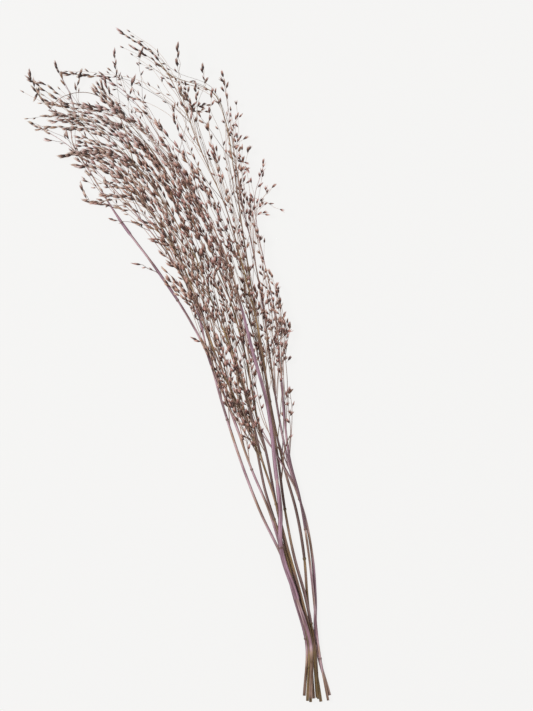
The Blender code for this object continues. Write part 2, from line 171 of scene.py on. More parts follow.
print(len(STEMS), "stems and", len(STRAYS), "stray branches")

# %% [markdown]
# ## Smooth lines
#
# A grass stem has no corners, so a route of a dozen points becomes a curve. A curve object could do that,
# but everything below needs places along the stems as numbers. So the curve is worked out here: a cubic
# over each span, which leaves every point with the slope that its two neighbours give it, cut into even
# steps. A line is kept as two arrays, the distances and the places.

# %% Curves through the routes
LINE_STEP = 4.0
NEAREST_STEP = 0.5


def length_along(points):
    """The distance along a row of points: the running sum of the steps between them."""
    return np.concatenate([[0.0], np.cumsum(np.linalg.norm(np.diff(points, axis=0), axis=1))])


def on_line(line, distance):
    """Places at distances along a line, straight between its points and kept to its ends."""
    reach, points = line
    return np.stack([np.interp(distance, reach, points[:, i]) for i in range(3)], axis=1)


def curve_through(points):
    """Even points on the cubic curve p(t) = (1+2t)(1-t)² a + t(1-t)² a' + t²(3-2t) b + t²(t-1) b' of each
    span from a to b, with the slopes a' and b' taken over the neighbours."""
    points = np.array(points, float)
    knots = length_along(points)
    slopes = np.gradient(points, knots, axis=0)
    at = np.linspace(0.0, knots[-1], int(knots[-1]))
    span = np.clip(np.searchsorted(knots, at, side="right") - 1, 0, len(points) - 2)
    width = (knots[span + 1] - knots[span])[:, None]
    t = (at - knots[span])[:, None] / width
    fine = (1 + 2 * t) * (1 - t) ** 2 * points[span] + t * (1 - t) ** 2 * width * slopes[span]
    fine += t ** 2 * (3 - 2 * t) * points[span + 1] + t ** 2 * (t - 1) * width * slopes[span + 1]
    reach = length_along(fine)
    even = np.linspace(0.0, reach[-1], int(reach[-1] / LINE_STEP) + 1)
    return even, on_line((reach, fine), even)


def along(line, distance):
    """Places at distances along a line, which runs straight on past its tip."""
    reach, points = line
    onward = points[-1] - points[-3]
    onward /= np.linalg.norm(onward)
    return on_line(line, distance) + np.maximum(distance - reach[-1], 0.0)[:, None] * onward


def nearest(line, place):
    """The distance along a line at which it passes nearest to a place."""
    reach = np.arange(0.0, line[0][-1], NEAREST_STEP)
    return reach[np.argmin(np.linalg.norm(along(line, reach) - place, axis=1))]


for spec in STEMS.values():
    spec["axis"] = curve_through(spec["route"])
print("stems in mm, cut end to tip:", [round(spec["axis"][0][-1]) for spec in STEMS.values()])

# %% Directions beside a line
def unit(vectors):
    """Vectors brought to length one."""
    return vectors / np.linalg.norm(vectors, axis=-1, keepdims=True)


def level_right(ahead):
    """Level unit vectors square to the given ones, to the right of one who looks along them. Beside an
    upright one any level way will do, and x is taken."""
    level = np.stack([ahead[..., 1], -ahead[..., 0], np.zeros(ahead.shape[:-1])], axis=-1)
    level[..., 0] += ~level.any(axis=-1)
    return unit(level)


def rightward(line, distance):
    """Level unit vectors square to the line, to the right of one who looks towards its tip."""
    return level_right(along(line, distance + LINE_STEP) - along(line, distance - LINE_STEP))


def directions(line, places):
    """At places on a line: the way ahead, the way to its right and the way up from it."""
    ahead = unit(along(line, places + 1.0) - along(line, places - 1.0))
    right = rightward(line, places)
    return ahead, right, np.cross(right, ahead)


def turned(first, second, angle):
    """Turned from one direction towards another: first · cos(angle) + second · sin(angle)."""
    return first * np.cos(angle)[:, None] + second * np.sin(angle)[:, None]


def part_way(limits, share):
    """A share of the way between two limits: first + (second - first) · share."""
    return limits[0] + (limits[1] - limits[0]) * share


first_axis = next(iter(STEMS.values()))["axis"]
print("the first stem sets out to", np.round(directions(first_axis, np.zeros(1))[0][0], 2))

# %% [markdown]
# ## Between the floor and the top
#
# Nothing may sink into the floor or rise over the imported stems. A plain cut at a height would leave a flat
# shelf of grass, so heights are eased: far from the limit they stay as they are, and near it they bend away.

# %% Heights eased up and down
FLOOR_GAP = 0.3
TOP = 36.2
SPIKELET_LENGTH = 4.6
SPIKELET_REST = 0.95


def settled(height):
    """Heights eased up where they would sink below the lowest place: gap + ln(1 + exp(height - gap))."""
    return FLOOR_GAP + np.logaddexp(0.0, height - FLOOR_GAP)


def under_top(height):
    """Heights eased down where they would rise past the top: top - ln(1 + exp(top - height))."""
    return TOP - np.logaddexp(0.0, TOP - height)


def kept_up(roots, ways):
    """Directions turned up where a spikelet's tip would sink below its lowest place."""
    rise = np.maximum(ways[:, 2], (SPIKELET_REST - roots[:, 2]) / SPIKELET_LENGTH)
    return np.column_stack([unit(ways[:, :2]) * np.sqrt(1 - rise ** 2)[:, None], rise])


print("heights of 0, 5 and 40 mm become", np.round(under_top(settled(np.array([0.0, 5.0, 40.0]))), 1))

# %% [markdown]
# ## The main branches
#
# A branch leaves the axis at a low angle and then runs beside it. They could be placed by hand one by one,
# but ten stems bear almost a hundred, so a rule places them. It draws where a branch is rooted, how long it
# is and how far it strays, from a seeded generator, so the grass grows the same every time. A try that
# would touch another stem is dropped and the next one is drawn. The rule, its seed and its order are those
# of the solids, so each branch here runs down the middle of its solid.

# %% A branch beside its axis or on a route of its own
BRANCH_POINTS = 6
OPENING = 0.85
STRAY_SHIFT = 0.8


def branch_line(spec, start, length, aside, lift, curl):
    """A branch is its axis moved aside: aside · share^OPENING + curl · share³ to the right, lift ·
    share^OPENING up, with share from 0 at its root to 1 at its tip."""
    axis = spec["axis"]
    share = np.linspace(0.0, 1.0, BRANCH_POINTS)
    distance = start + share * length
    away = aside * share ** OPENING + curl * share ** 3
    points = along(axis, distance) + rightward(axis, distance) * away[:, None]
    points[1:, 2] = settled(points[1:, 2] + lift * share[1:] ** OPENING)
    points[0] = along(spec["rings"], distance[:1])[0]
    return length_along(points), points


def stray_line(spec, route, attempt):
    """A branch along a route of its own. Each further attempt passes a little higher or lower."""
    points = np.array(route, float)
    points[1:, 2] += STRAY_SHIFT * ((attempt + 1) // 2) * (-1) ** attempt
    reach, points = curve_through(points)
    places = np.linspace(0.0, reach[-1], BRANCH_POINTS)
    points = along((reach, points), places)
    points[1:, 2] = settled(points[1:, 2])
    points[0] = along(spec["rings"], nearest(spec["axis"], points[0])[None])[0]
    return places, points


# %% Spikelets on a main branch
BARE_SHARE = 0.22
SPIKELET_LEAN = math.radians(34)
UNEVEN = 0.25
TWIST = 0.7
END_SUNK = 1.0


def spikelets_on(branch, spacing, rng):
    """Places, roots and ways of the spikelets: they alternate up the outer part, and one ends it."""
    reach = branch[0]
    count = int((1 - BARE_SHARE) * reach[-1] / spacing)
    places = reach[-1] - spacing * np.arange(count + 1)
    places[0] -= END_SUNK
    places[1:] += rng.uniform(-UNEVEN, UNEVEN, count) * spacing
    roots = along(branch, places)
    ahead, right, above = directions(branch, places)
    turn = np.arange(count + 1) * math.pi + rng.normal(0.0, TWIST, count + 1)
    lean = np.full(count + 1, SPIKELET_LEAN)
    lean[0] = 0.0
    return places, roots, kept_up(roots, turned(ahead, turned(right, above, turn), lean))


print("the first stem's axis could bear", len(spikelets_on(first_axis, 12.0, np.random.default_rng(1))[0]))

# %% [markdown]
# ## Room between the stems
#
# To know whether a branch touches another stem, its mesh could be tested against theirs, which is slow.
# Small balls strung along whatever has grown, like beads, turn the test into a matter of distances.

# %% Beads along what has grown
CLEARANCE = 0.55
BEAD_STEP = 1.2
SPIKELET_BEADS = ((0.2, 0.6), (0.45, 0.95), (0.75, 0.6))
BEAD_REACH = 4.0
BRANCH_RADII = (0.36, 0.26)


def line_beads(line, reaches, radii):
    """Balls strung along a line: rows of x, y, z and radius."""
    places = np.linspace(0.0, line[0][-1], int(line[0][-1] / BEAD_STEP) + 2)
    return np.column_stack([along(line, places), np.interp(places, reaches, radii)])


def spikelet_beads(roots, ways):
    """Three balls that fill each spikelet."""
    rows = []
    for share, radius in SPIKELET_BEADS:
        centres = roots + ways * SPIKELET_LENGTH * share
        rows.append(np.column_stack([centres, np.full(len(roots), radius)]))
    return np.concatenate(rows)


def clear_of(beads, others):
    """True where no bead comes within the clearance of another stem's."""
    low = beads[:, :3].min(axis=0) - BEAD_REACH
    high = beads[:, :3].max(axis=0) + BEAD_REACH
    near = others[np.all((others[:, :3] > low) & (others[:, :3] < high), axis=1)]
    if len(near) == 0:
        return True
    apart = np.linalg.norm(beads[:, None, :3] - near[None, :, :3], axis=2)
    return (apart - beads[:, None, 3] - near[None, :, 3]).min() > CLEARANCE


# %% Each stem's axis as its solid has it
def neck_of(spec):
    """How far up its axis a stem's panicle begins, and the whole length of the axis."""
    total = spec["axis"][0][-1]
    return total - spec["panicle"], total


def axis_rings(spec):
    """The axis in the coarse steps of the solid, and the solid's radii there."""
    neck, total = neck_of(spec)
    culm = np.linspace(0.0, neck, CULM_SPACES + 1)
    panicle = np.linspace(neck, total, PANICLE_SPACES + 1)
    places = np.concatenate([culm, panicle[1:]])
    radii = np.interp(places, [0.0, neck, total], [spec["foot"], NECK_RADIUS, TIP_RADIUS])
    return (places, along(spec["axis"], places)), radii


BEADS = {}
for stem_name, spec in STEMS.items():
    spec["rings"], ring_radii = axis_rings(spec)
    spec["grown"] = []
    BEADS[stem_name] = [line_beads(spec["rings"], spec["rings"][0], ring_radii)]
print(sum(len(rows[0]) for rows in BEADS.values()), "beads on the axes")

# %% Grow the main branches
BRANCH_LENGTH = (38.0, 118.0)
SHORTEST_BRANCH = 20.0
SPREAD_LENGTH = 80.0
SPREAD_SHARE = (0.35, 1.0)
ROOTED_SHARE = 0.86
RANK_SHARE = (0.1, 0.9)
SHORT_OF_TIP = 20.0
CURL = 2.5
SPACING = 12.0
STRAY_SPACING = 7.0
TRIES = 40
STEM_NUMBER = {name: number for number, name in enumerate(STEMS)}


def regular_tries(name, number):
    """Tries at a stem's branch of that number, each with its spikelets."""
    spec = STEMS[name]
    neck, total = neck_of(spec)
    left, right = spec["spread"]
    side = right if number % 2 else -left
    for attempt in range(TRIES):
        rng = np.random.default_rng([SEED, STEM_NUMBER[name], number, attempt])
        rank = (number + rng.uniform(*RANK_SHARE)) / spec["branches"]
        start = neck + rank * ROOTED_SHARE * spec["panicle"]
        longest = total + spec["past"] - rng.uniform(0.0, SHORT_OF_TIP) - start
        length = max(min(rng.uniform(*BRANCH_LENGTH), longest), SHORTEST_BRANCH)
        aside = side * rng.uniform(*SPREAD_SHARE) * length / SPREAD_LENGTH
        lift = spec["lift"] * rng.uniform(-1.0, 1.0)
        branch = branch_line(spec, start, length, aside, lift, rng.normal(0.0, CURL))
        yield branch, spikelets_on(branch, SPACING, rng)


def stray_tries(name, route, number):
    """Tries at a branch with a route of its own, each with its spikelets."""
    for attempt in range(TRIES):
        rng = np.random.default_rng([SEED, number, attempt])
        branch = stray_line(STEMS[name], route, attempt)
        yield branch, spikelets_on(branch, STRAY_SPACING, rng)


def plant(name, tries):
    """Adds to a stem the first try that stays clear of all other stems."""
    others = np.concatenate([row for key, rows in BEADS.items() if key != name for row in rows])
    for branch, spikelets in tries:
        strung = line_beads(branch, (0.0, branch[0][-1]), BRANCH_RADII)
        strung = np.concatenate([strung, spikelet_beads(*spikelets[1:])])
        if clear_of(strung, others):
            BEADS[name].append(strung)
            STEMS[name]["grown"].append((branch, spikelets))
            return


for stray_number, (stem_name, stray_route) in enumerate(STRAYS):
    plant(stem_name, stray_tries(stem_name, stray_route, stray_number))
for branch_number in range(max(spec["branches"] for spec in STEMS.values())):
    for stem_name, spec in STEMS.items():
        if branch_number < spec["branches"]:
            plant(stem_name, regular_tries(stem_name, branch_number))
print("main branches:", {name: len(spec["grown"]) for name, spec in STEMS.items()})

# %% [markdown]
# ## Sprays of finer branches
#
# A real panicle has two or three times as many branches as the solids, which keep only the main ones. The
# finer ones lie in sprays that nod to the upper left and open like an airy fan on the right. Each spray has
# a middle route, in pixels of the frame; its strands run beside it, start and end unevenly and rise or sink
# a little. Every strand is rooted on the axis of one of the stems that pass nearest, and leaves it smoothly.
# A few sprays low on the stems are bare twigs, which bear nothing at all.

# %% Middle routes of the sprays
# For each spray: the number of strands, how far they spread in pixels, the bare share from the root, and
# the route from the root outward.
SPRAYS = [
    # Nodding to the upper left
    (3, 5, 0.45, [(190, 250), (165, 200), (140, 168), (110, 150), (80, 140), (62, 140), (51, 146)]),
    (3, 4, 0.45, [(185, 235), (160, 190), (130, 155), (100, 132), (70, 125), (40, 126), (24, 133)]),
    (3, 5, 0.45, [(190, 225), (165, 180), (135, 143), (105, 122), (75, 116), (45, 116), (28, 117)]),
    (3, 5, 0.45, [(195, 215), (170, 168), (140, 130), (112, 113), (85, 107), (60, 104), (45, 98)]),
    (1, 0, 0.65, [(180, 190), (150, 150), (115, 122), (80, 118), (55, 112), (40, 98), (33, 86), (30, 75)]),
    (1, 0, 0.8, [(170, 180), (130, 135), (90, 112), (62, 96), (48, 86), (40, 81), (37, 92)]),
    (2, 4, 0.65, [(180, 185), (150, 140), (125, 118), (110, 105), (103, 86)]),
    (2, 3, 0.65, [(170, 170), (140, 132), (118, 112), (105, 100), (97, 91)]),
    (3, 4, 0.5, [(185, 215), (155, 180), (125, 160), (95, 152), (70, 150), (55, 151)]),
    (3, 3, 0.5, [(180, 230), (150, 195), (120, 170), (95, 160), (75, 155), (55, 160)]),
    (3, 4, 0.5, [(180, 240), (150, 205), (125, 180), (100, 168), (80, 165), (63, 166)]),
    (3, 4, 0.5, [(185, 255), (160, 220), (135, 190), (118, 184), (104, 184)]),
    (2, 3, 0.55, [(190, 262), (165, 225), (140, 200), (120, 195), (105, 193)]),
    (1, 0, 0.7, [(180, 250), (160, 222), (140, 205), (118, 199), (100, 201), (90, 203), (82, 188)]),
    (1, 0, 0.6, [(180, 260), (160, 230), (140, 212), (120, 208), (100, 203)]),
    (3, 4, 0.5, [(195, 285), (175, 250), (155, 226), (140, 220)]),
    (3, 4, 0.5, [(200, 300), (185, 270), (170, 250), (160, 243), (153, 243)]),
    (3, 4, 0.5, [(207, 320), (196, 295), (182, 270), (164, 254)]),
    (3, 4, 0.5, [(215, 350), (205, 322), (193, 302), (183, 294), (170, 280)]),
    (2, 4, 0.5, [(225, 385), (215, 350), (205, 318), (193, 290)]),
    # The thick of the bunch
    (4, 9, 0.4, [(235, 400), (220, 350), (200, 290), (175, 230), (150, 185), (125, 160)]),
    (5, 9, 0.4, [(245, 410), (228, 350), (212, 290), (188, 230), (160, 180), (130, 145), (105, 125)]),
    (4, 9, 0.4, [(250, 400), (238, 350), (222, 290), (200, 235), (178, 190), (152, 150), (130, 128)]),
    (4, 9, 0.4, [(262, 400), (250, 350), (235, 295), (215, 245), (195, 205), (172, 165), (150, 138)]),
    (3, 8, 0.4, [(270, 400), (258, 350), (245, 300), (228, 250), (210, 215), (190, 180), (170, 150),
                 (157, 132)]),
    (3, 6, 0.4, [(258, 400), (246, 350), (236, 310), (226, 270), (214, 232)]),
    (2, 6, 0.4, [(264, 380), (254, 330), (246, 290), (238, 255), (229, 225)]),
    (1, 0, 0.4, [(270, 380), (260, 330), (254, 290), (248, 262), (243, 238)]),
    # Low on the stems
    (5, 5, 0.3, [(250, 440), (240, 415), (230, 385), (222, 355), (213, 330)]),
    (4, 5, 0.3, [(256, 440), (246, 405), (238, 375), (230, 340), (222, 310)]),
    (3, 4, 0.3, [(265, 430), (256, 400), (250, 370), (243, 340), (235, 310)]),
    (3, 5, 0.3, [(270, 405), (264, 370), (262, 340), (258, 310), (255, 285)]),
    (3, 5, 0.3, [(266, 410), (258, 370), (250, 335), (244, 305), (238, 280)]),
    (3, 5, 0.3, [(245, 380), (232, 340), (220, 305), (208, 275), (200, 255)]),
    (3, 5, 0.3, [(230, 375), (219, 340), (210, 310), (200, 280), (192, 260)]),
    (3, 4, 0.3, [(280, 405), (274, 370), (270, 340), (267, 310), (264, 288)]),
    (3, 3, 0.2, [(262, 455), (250, 428), (240, 410), (232, 396), (226, 385)]),
    (3, 3, 0.2, [(258, 450), (248, 425), (240, 408), (236, 393), (236, 378)]),
    (3, 3, 0.2, [(254, 450), (243, 425), (235, 412), (229, 400)]),
    (2, 3, 0.2, [(262, 440), (254, 420), (248, 400), (244, 384)]),
    (2, 2, 0.4, [(240, 440), (228, 410), (220, 385), (215, 368), (211, 352)]),
    (1, 0, 0.8, [(218, 375), (210, 352), (204, 343), (197, 340)]),
    (1, 0, 0.7, [(262, 448), (256, 442), (251, 440)]),
    (1, 0, 1.0, [(288, 480), (282, 466), (273, 450), (262, 430)]),
    (1, 0, 1.0, [(287, 472), (278, 456), (268, 443), (258, 428)]),
    (1, 0, 1.0, [(284, 462), (280, 446), (277, 437)]),
    (1, 0, 1.0, [(284, 466), (285, 448), (290, 436)]),
    (1, 0, 0.7, [(272, 440), (262, 420), (258, 405), (255, 395)]),
    (1, 0, 0.6, [(285, 450), (291, 425), (292, 408), (290, 392)]),
    (1, 0, 0.5, [(284, 440), (284, 415), (285, 400), (289, 394)]),
    (1, 0, 0.6, [(284, 420), (287, 380), (285, 350), (285, 337), (288, 327)]),
    (2, 2, 0.4, [(282, 420), (283, 380), (281, 350), (281, 320), (280, 303)]),
    # Airy, on the right
    (1, 0, 0.7, [(275, 400), (265, 350), (255, 300), (243, 250), (232, 215), (220, 180), (213, 150),
                 (209, 130)]),
    (1, 0, 0.8, [(243, 250), (228, 200), (214, 160), (209, 125), (212, 94)]),
    (1, 0, 0.6, [(278, 390), (270, 340), (262, 290), (253, 250), (247, 220), (240, 190), (238, 165),
                 (237, 138)]),
    (1, 0, 0.6, [(282, 390), (277, 340), (270, 300), (262, 260), (255, 230), (250, 205), (243, 185),
                 (242, 150)]),
    (3, 4, 0.4, [(284, 390), (280, 350), (279, 320), (276, 300), (268, 275), (264, 257)]),
    (2, 3, 0.5, [(284, 390), (282, 350), (280, 322), (276, 300), (274, 290)]),
    (1, 0, 0.8, [(256, 240), (257, 205), (261, 182), (263, 163)]),
    (1, 0, 0.8, [(252, 235), (257, 206), (265, 194), (272, 187)]),
    (1, 0, 0.8, [(252, 240), (254, 222), (256, 214), (265, 214)]),
    (2, 3, 0.7, [(250, 245), (252, 220), (257, 208), (262, 203)]),
    (2, 3, 0.7, [(255, 275), (254, 240), (252, 220), (253, 203)]),
    (1, 0, 0.75, [(238, 240), (228, 200), (221, 175), (217, 152)]),
    (1, 0, 0.85, [(240, 230), (228, 190), (218, 165), (211, 158)]),
    (1, 0, 0.8, [(236, 200), (233, 170), (232, 160), (241, 160), (246, 167)]),
    (1, 0, 0.8, [(243, 220), (238, 195), (242, 185), (246, 183)]),
    (1, 0, 0.8, [(240, 200), (238, 175), (236, 165), (232, 156)]),
    (1, 0, 0.8, [(238, 205), (230, 178), (236, 174), (244, 170)]),
    (1, 0, 0.85, [(232, 215), (230, 170), (229, 150), (243, 139)]),
    (1, 0, 0.8, [(228, 210), (224, 165), (226, 140), (230, 128), (239, 117)]),
    (1, 0, 0.85, [(226, 200), (223, 150), (225, 120), (228, 103), (226, 88), (223, 76)]),
    (1, 0, 0.92, [(250, 240), (249, 205), (248, 180), (246, 158), (249, 150)]),
    (1, 0, 0.8, [(214, 175), (204, 142), (195, 118), (186, 102), (180, 92), (173, 87)]),
    (1, 0, 0.7, [(206, 158), (198, 122), (197, 100), (196, 88)]),
    (1, 0, 0.7, [(187, 142), (189, 120), (190, 104), (186, 86)]),
    (1, 0, 0.7, [(177, 142), (180, 122), (189, 109), (206, 105)]),
    (1, 0, 0.6, [(201, 145), (191, 122), (184, 104), (182, 93)]),
    (1, 0, 0.4, [(194, 132), (193, 118), (191, 107), (187, 98)]),
    (1, 0, 0.4, [(187, 130), (189, 116), (196, 112), (205, 112)]),
    (1, 0, 0.7, [(212, 150), (208, 130), (199, 116), (194, 110)]),
    (1, 0, 0.85, [(222, 200), (208, 160), (190, 140), (172, 118), (150, 105), (133, 99)]),
    (1, 0, 0.82, [(200, 150), (187, 115), (181, 90), (178, 70), (178, 50)]),
    (1, 0, 0.85, [(205, 160), (196, 120), (199, 98), (204, 86), (203, 70)]),
    (1, 0, 0.9, [(185, 112), (165, 97), (148, 88), (141, 76), (139, 64), (141, 54)]),
    (1, 0, 0.75, [(150, 150), (125, 122), (119, 100), (117, 78), (115, 55)]),
    (1, 0, 0.75, [(160, 150), (138, 128), (128, 108), (130, 96), (133, 84)]),
    (1, 0, 0.8, [(110, 130), (85, 112), (75, 97), (76, 85), (79, 75)]),
    (1, 0, 0.95, [(110, 130), (90, 115), (72, 95), (62, 78), (56, 65)]),
    (1, 0, 0.6, [(185, 112), (165, 97), (148, 88), (125, 78), (95, 76), (67, 72)]),
    (1, 0, 1.0, [(140, 140), (118, 105), (95, 92), (75, 91), (60, 97), (48, 110)]),
    (1, 0, 0.65, [(205, 190), (185, 158), (165, 135), (150, 118), (140, 112)]),
    (1, 0, 0.7, [(205, 190), (190, 160), (180, 135), (175, 120), (175, 110)]),
]
print(len(SPRAYS), "sprays")

# %% How high the bunch stands over a place
HEIGHT_BLUR = 30.0  # in square millimetres
ALL_AXES = np.concatenate([spec["axis"][1] for spec in STEMS.values()])


def height_over(points):
    """The middle height of the bunch over places on the floor: the heights of all axes, weighed by
    1 / (distance² + HEIGHT_BLUR)²."""
    apart = ((points[:, None, :2] - ALL_AXES[None, :, :2]) ** 2).sum(axis=2)
    weight = 1 / (apart + HEIGHT_BLUR) ** 2
    return (weight * ALL_AXES[:, 2]).sum(axis=1) / weight.sum(axis=1)


def nearest_stems(place, number):
    """The stems whose axes pass nearest over a place on the floor, with the distance along each."""
    found = []
    for name, spec in STEMS.items():
        reach, points = spec["axis"]
        apart = np.hypot(points[:, 0] - place[0], points[:, 1] - place[1])
        found.append((apart.min(), name, reach[np.argmin(apart)]))
    return sorted(found)[:number]


print("over the middle the bunch is", round(height_over(np.zeros((1, 3)))[0], 1), "mm high")

# %% Strands of a spray
RINGS = 24
LEVELS = 7.0
LEVEL_FADE = 0.6
ROOT_BACK = 10.0
NEAR = 14.0
NEAR_STEMS = 3
OFFSET_SHARE = (0.4, 1.0)
RISE_RATE = 2.5
TUFT_SHARE = 0.75
TUFT_WIDTH = 0.2
EVEN_SPRAY = 2  # a spray of no more strands than this starts and ends them together
LATE_START = (0.0, 0.4)
EARLY_END = (0.78, 1.0)
SPRAY_SEED = 101


def laid_strand(line, offset, first, last, level, rng):
    """A strand beside a route: route(share) + offset · (0.4 + 0.6 share) to the right, drawn to its root by
    (root - start) · (1 - share)³, and as high as the bunch is there plus its own level. Its stem is one of
    the three that pass nearest to its start."""
    share = np.linspace(0.0, 1.0, RINGS)
    places = (first + share * (last - first)) * line[0][-1]
    strand = along(line, places) + rightward(line, places) * (offset * part_way(OFFSET_SHARE, share))[:, None]
    near = [row for row in nearest_stems(strand[0], NEAR_STEMS) if row[0] < NEAR]
    apart, name, root_at = near[rng.integers(len(near))] if near else nearest_stems(strand[0], 1)[0]
    root = along(STEMS[name]["axis"], np.array([max(root_at - ROOT_BACK, 0.0)]))[0]
    strand[:, :2] += (root - strand[0])[:2] * ((1 - share) ** 3)[:, None]
    settle_in = np.minimum(1.0, RISE_RATE * share)
    rise = height_over(strand) + level * (1 - LEVEL_FADE * share) - root[2]
    strand[:, 2] = root[2] + rise * settle_in ** 2 * (3 - 2 * settle_in)
    strand[1:, 2] = under_top(settled(strand[1:, 2]))
    return name, (length_along(strand), strand)


def spray(number, count, spread, bare, route):
    """The strands of one spray, each with its stem and its bare share. A spray of one keeps to its route."""
    rng = np.random.default_rng([SEED, SPRAY_SEED, number])
    line = curve_through([(*at_pixel(*pixel), 0.0) for pixel in route])
    found = []
    for _ in range(count):
        offset = spread * PIXEL * (rng.integers(-1, 2) * TUFT_SHARE + rng.normal(0.0, TUFT_WIDTH))
        first = rng.uniform(*LATE_START) if count > EVEN_SPRAY else 0.0
        last = rng.uniform(*EARLY_END) if count > EVEN_SPRAY else 1.0
        name, strand = laid_strand(line, offset, first, last, rng.uniform(-LEVELS, LEVELS), rng)
        found.append((name, strand, bare))
    return found


SPRAYED = [strand for number, given in enumerate(SPRAYS) for strand in spray(number, *given)]
print(len(SPRAYED), "strands in the sprays")

# %% Main branches as smooth strands
WAVER = 0.55
WAVES = (1.0, 2.5)
WAVE_START = (0.0, 6.28)
WAVER_EASE = 4


def smooth_strand(branch, rng):
    """A main branch in RINGS even places with a slight waver sideways: WAVER · sin(2π·waves·share +
    start), eased in from both ends."""
    reach, points = curve_through(branch[1])
    share = np.linspace(0.0, 1.0, RINGS)
    places = share * reach[-1]
    strand = along((reach, points), places)
    waver = WAVER * np.sin(2 * math.pi * share * rng.uniform(*WAVES) + rng.uniform(*WAVE_START))
    ends = np.minimum(1.0, WAVER_EASE * np.minimum(share, 1 - share))
    strand += rightward((reach, points), places) * (waver * ends)[:, None]
    strand[:, 2] = under_top(strand[:, 2])
    return places, strand


print("smooth strands have", RINGS, "rings, and waver by up to", WAVER, "mm")

# %% [markdown]
# ## Loose and airy grass
#
# The bunch isn't the same all over: at the upper left, where it nods, everything hugs its strand, and to
# the right everything stands off it. Along the top, too, it is thin enough to see through. Two measures
# from 0 to 1 say so for any place, and the steps below read them, so the change is gradual.

# %% Looseness and airiness
LOOSE_AT_ZERO = 0.02
LOOSE_PER_MM = 0.016
AIRY_FROM = 120.0
AIRY_OVER = 60.0


def rising(values, start, over):
    """From 0 at start to 1 where the values are larger by over: (values - start) / over, kept between."""
    return np.clip((values - start) / over, 0.0, 1.0)


def looseness(points):
    """From 0 where the grass nods to the upper left to 1 on the right: 0.02 + 0.016 x, kept between."""
    return np.clip(LOOSE_AT_ZERO + LOOSE_PER_MM * points[..., 0], 0.0, 1.0)


def airiness(points):
    """From 0 in the thick of the bunch to 1 on its right and along its top: the larger of the looseness
    and (y - 120) / 60."""
    return np.maximum(looseness(points), rising(points[..., 1], AIRY_FROM, AIRY_OVER))


print("mean looseness of the strands' tips:",
      round(float(np.mean([looseness(strand[1][-1]) for _, strand, _ in SPRAYED])), 2))

# %% [markdown]
# ## Branchlets
#
# Branchlets leave the outer part of a strand, on alternate sides, and bend back to run beside it. All
# branchlets of a strand are worked out at once, as one array of lines.

# %% Branchlets along a strand
BRANCHLET_SPACING = 26.0
BRANCHLET_LENGTH = (6.0, 14.0)
BRANCHLET_LEAN = (0.16, 0.34)
BRANCHLET_RINGS = 7
BRANCHLET_SHIFT = 0.7
BRANCHLET_TWIST = 0.8
BEND_BACK = 0.4


def branchlets_on(strand, bare, rng):
    """Branchlets p(t) = root + length · (ahead · t·cos(lean) + outward · sin(lean)·(t - 0.4·t²)), on
    alternate sides, as one array of lines."""
    reach = strand[0]
    first = bare * reach[-1]
    count = int((reach[-1] - first) / BRANCHLET_SPACING)
    if count < 1:
        return np.zeros((0, BRANCHLET_RINGS, 3))
    places = first + (np.arange(count) + rng.uniform(0.0, BRANCHLET_SHIFT, count)) * BRANCHLET_SPACING
    ahead, right, above = directions(strand, places)
    turn = np.arange(count) * math.pi + rng.normal(0.0, BRANCHLET_TWIST, count)
    outward = turned(right, above, turn)
    roots = along(strand, places)
    lean = (rng.uniform(*BRANCHLET_LEAN, count) * (1 + looseness(roots)))[:, None, None]
    length = rng.uniform(*BRANCHLET_LENGTH, count)[:, None, None]
    t = np.linspace(0.0, 1.0, BRANCHLET_RINGS)[None, :, None]
    lines = roots[:, None, :] + length * t * np.cos(lean) * ahead[:, None, :]
    lines += length * np.sin(lean) * (t - BEND_BACK * t ** 2) * outward[:, None, :]
    lines[:, 1:, 2] = under_top(settled(lines[:, 1:, 2]))
    return lines


sample_strand = SPRAYED[0][1]
print(len(branchlets_on(sample_strand, 0.0, np.random.default_rng(1))), "branchlets on a whole strand")

# %% [markdown]
# ## Where the spikelets hang
#
# Spikelets stand in chains: one ends each strand, and the others follow one another down its outer part, on
# alternate sides, pressed to it on hair-thin stalks. Branchlets carry one to three more. Copies of one
# object on points would do, but the bunch is exported, so each spikelet becomes real faces later. For each,
# a row of four things is kept: where its stalk leaves the strand, where its husk begins, which way it
# points and how long it is.

# %% A husk on its stalk
CHAIN_LEAN = (0.08, 0.32)
STALK = (0.25, 1.1)
LOOSER_LEAN = 2.4
LOOSER_STALK = 1.2
HUSK_LEAN = 0.8
LONG_HUSK = (4.9, 6.9)
SHORTER = 1.5
LOOSE_LENGTHS = (0.0, 0.6)


def hung(feet, ways, turn, lean, stalk, rng):
    """Husks on stalks: a stalk leaves its foot at the lean from ahead, towards the turn round it, and the
    husk follows at 0.8 of that lean. Husks are shorter where the grass is looser."""
    ahead, right, above = ways
    outward = turned(right, above, turn)
    bases = feet + turned(ahead, outward, lean) * stalk[:, None]
    bases[:, 2] = under_top(np.maximum(bases[:, 2], SPIKELET_REST))
    way = turned(ahead, outward, HUSK_LEAN * lean)
    loose = looseness(feet)
    length = rng.uniform(0.0, 1.0, len(feet)) * (1 - loose) + rng.uniform(*LOOSE_LENGTHS, len(feet)) * loose
    length = LONG_HUSK[0] - SHORTER * loose + (LONG_HUSK[1] - LONG_HUSK[0]) * length
    return np.column_stack([feet, bases, kept_up(bases, way), length])


def loosely(feet, rng, free):
    """Leans and stalk lengths, both larger where the grass is looser. A spikelet that isn't free has none."""
    loose = looseness(feet)
    lean = rng.uniform(*CHAIN_LEAN, len(feet)) * (1 + LOOSER_LEAN * loose) * free
    return lean, rng.uniform(*STALK, len(feet)) * (1 + LOOSER_STALK * loose) * free


# %% Chains down the strands
CHAIN_SPACING = (3.15, 4.0)
CHAIN_OPENING = (0.18, 0.36)
CHAIN_UNEVEN = 0.35


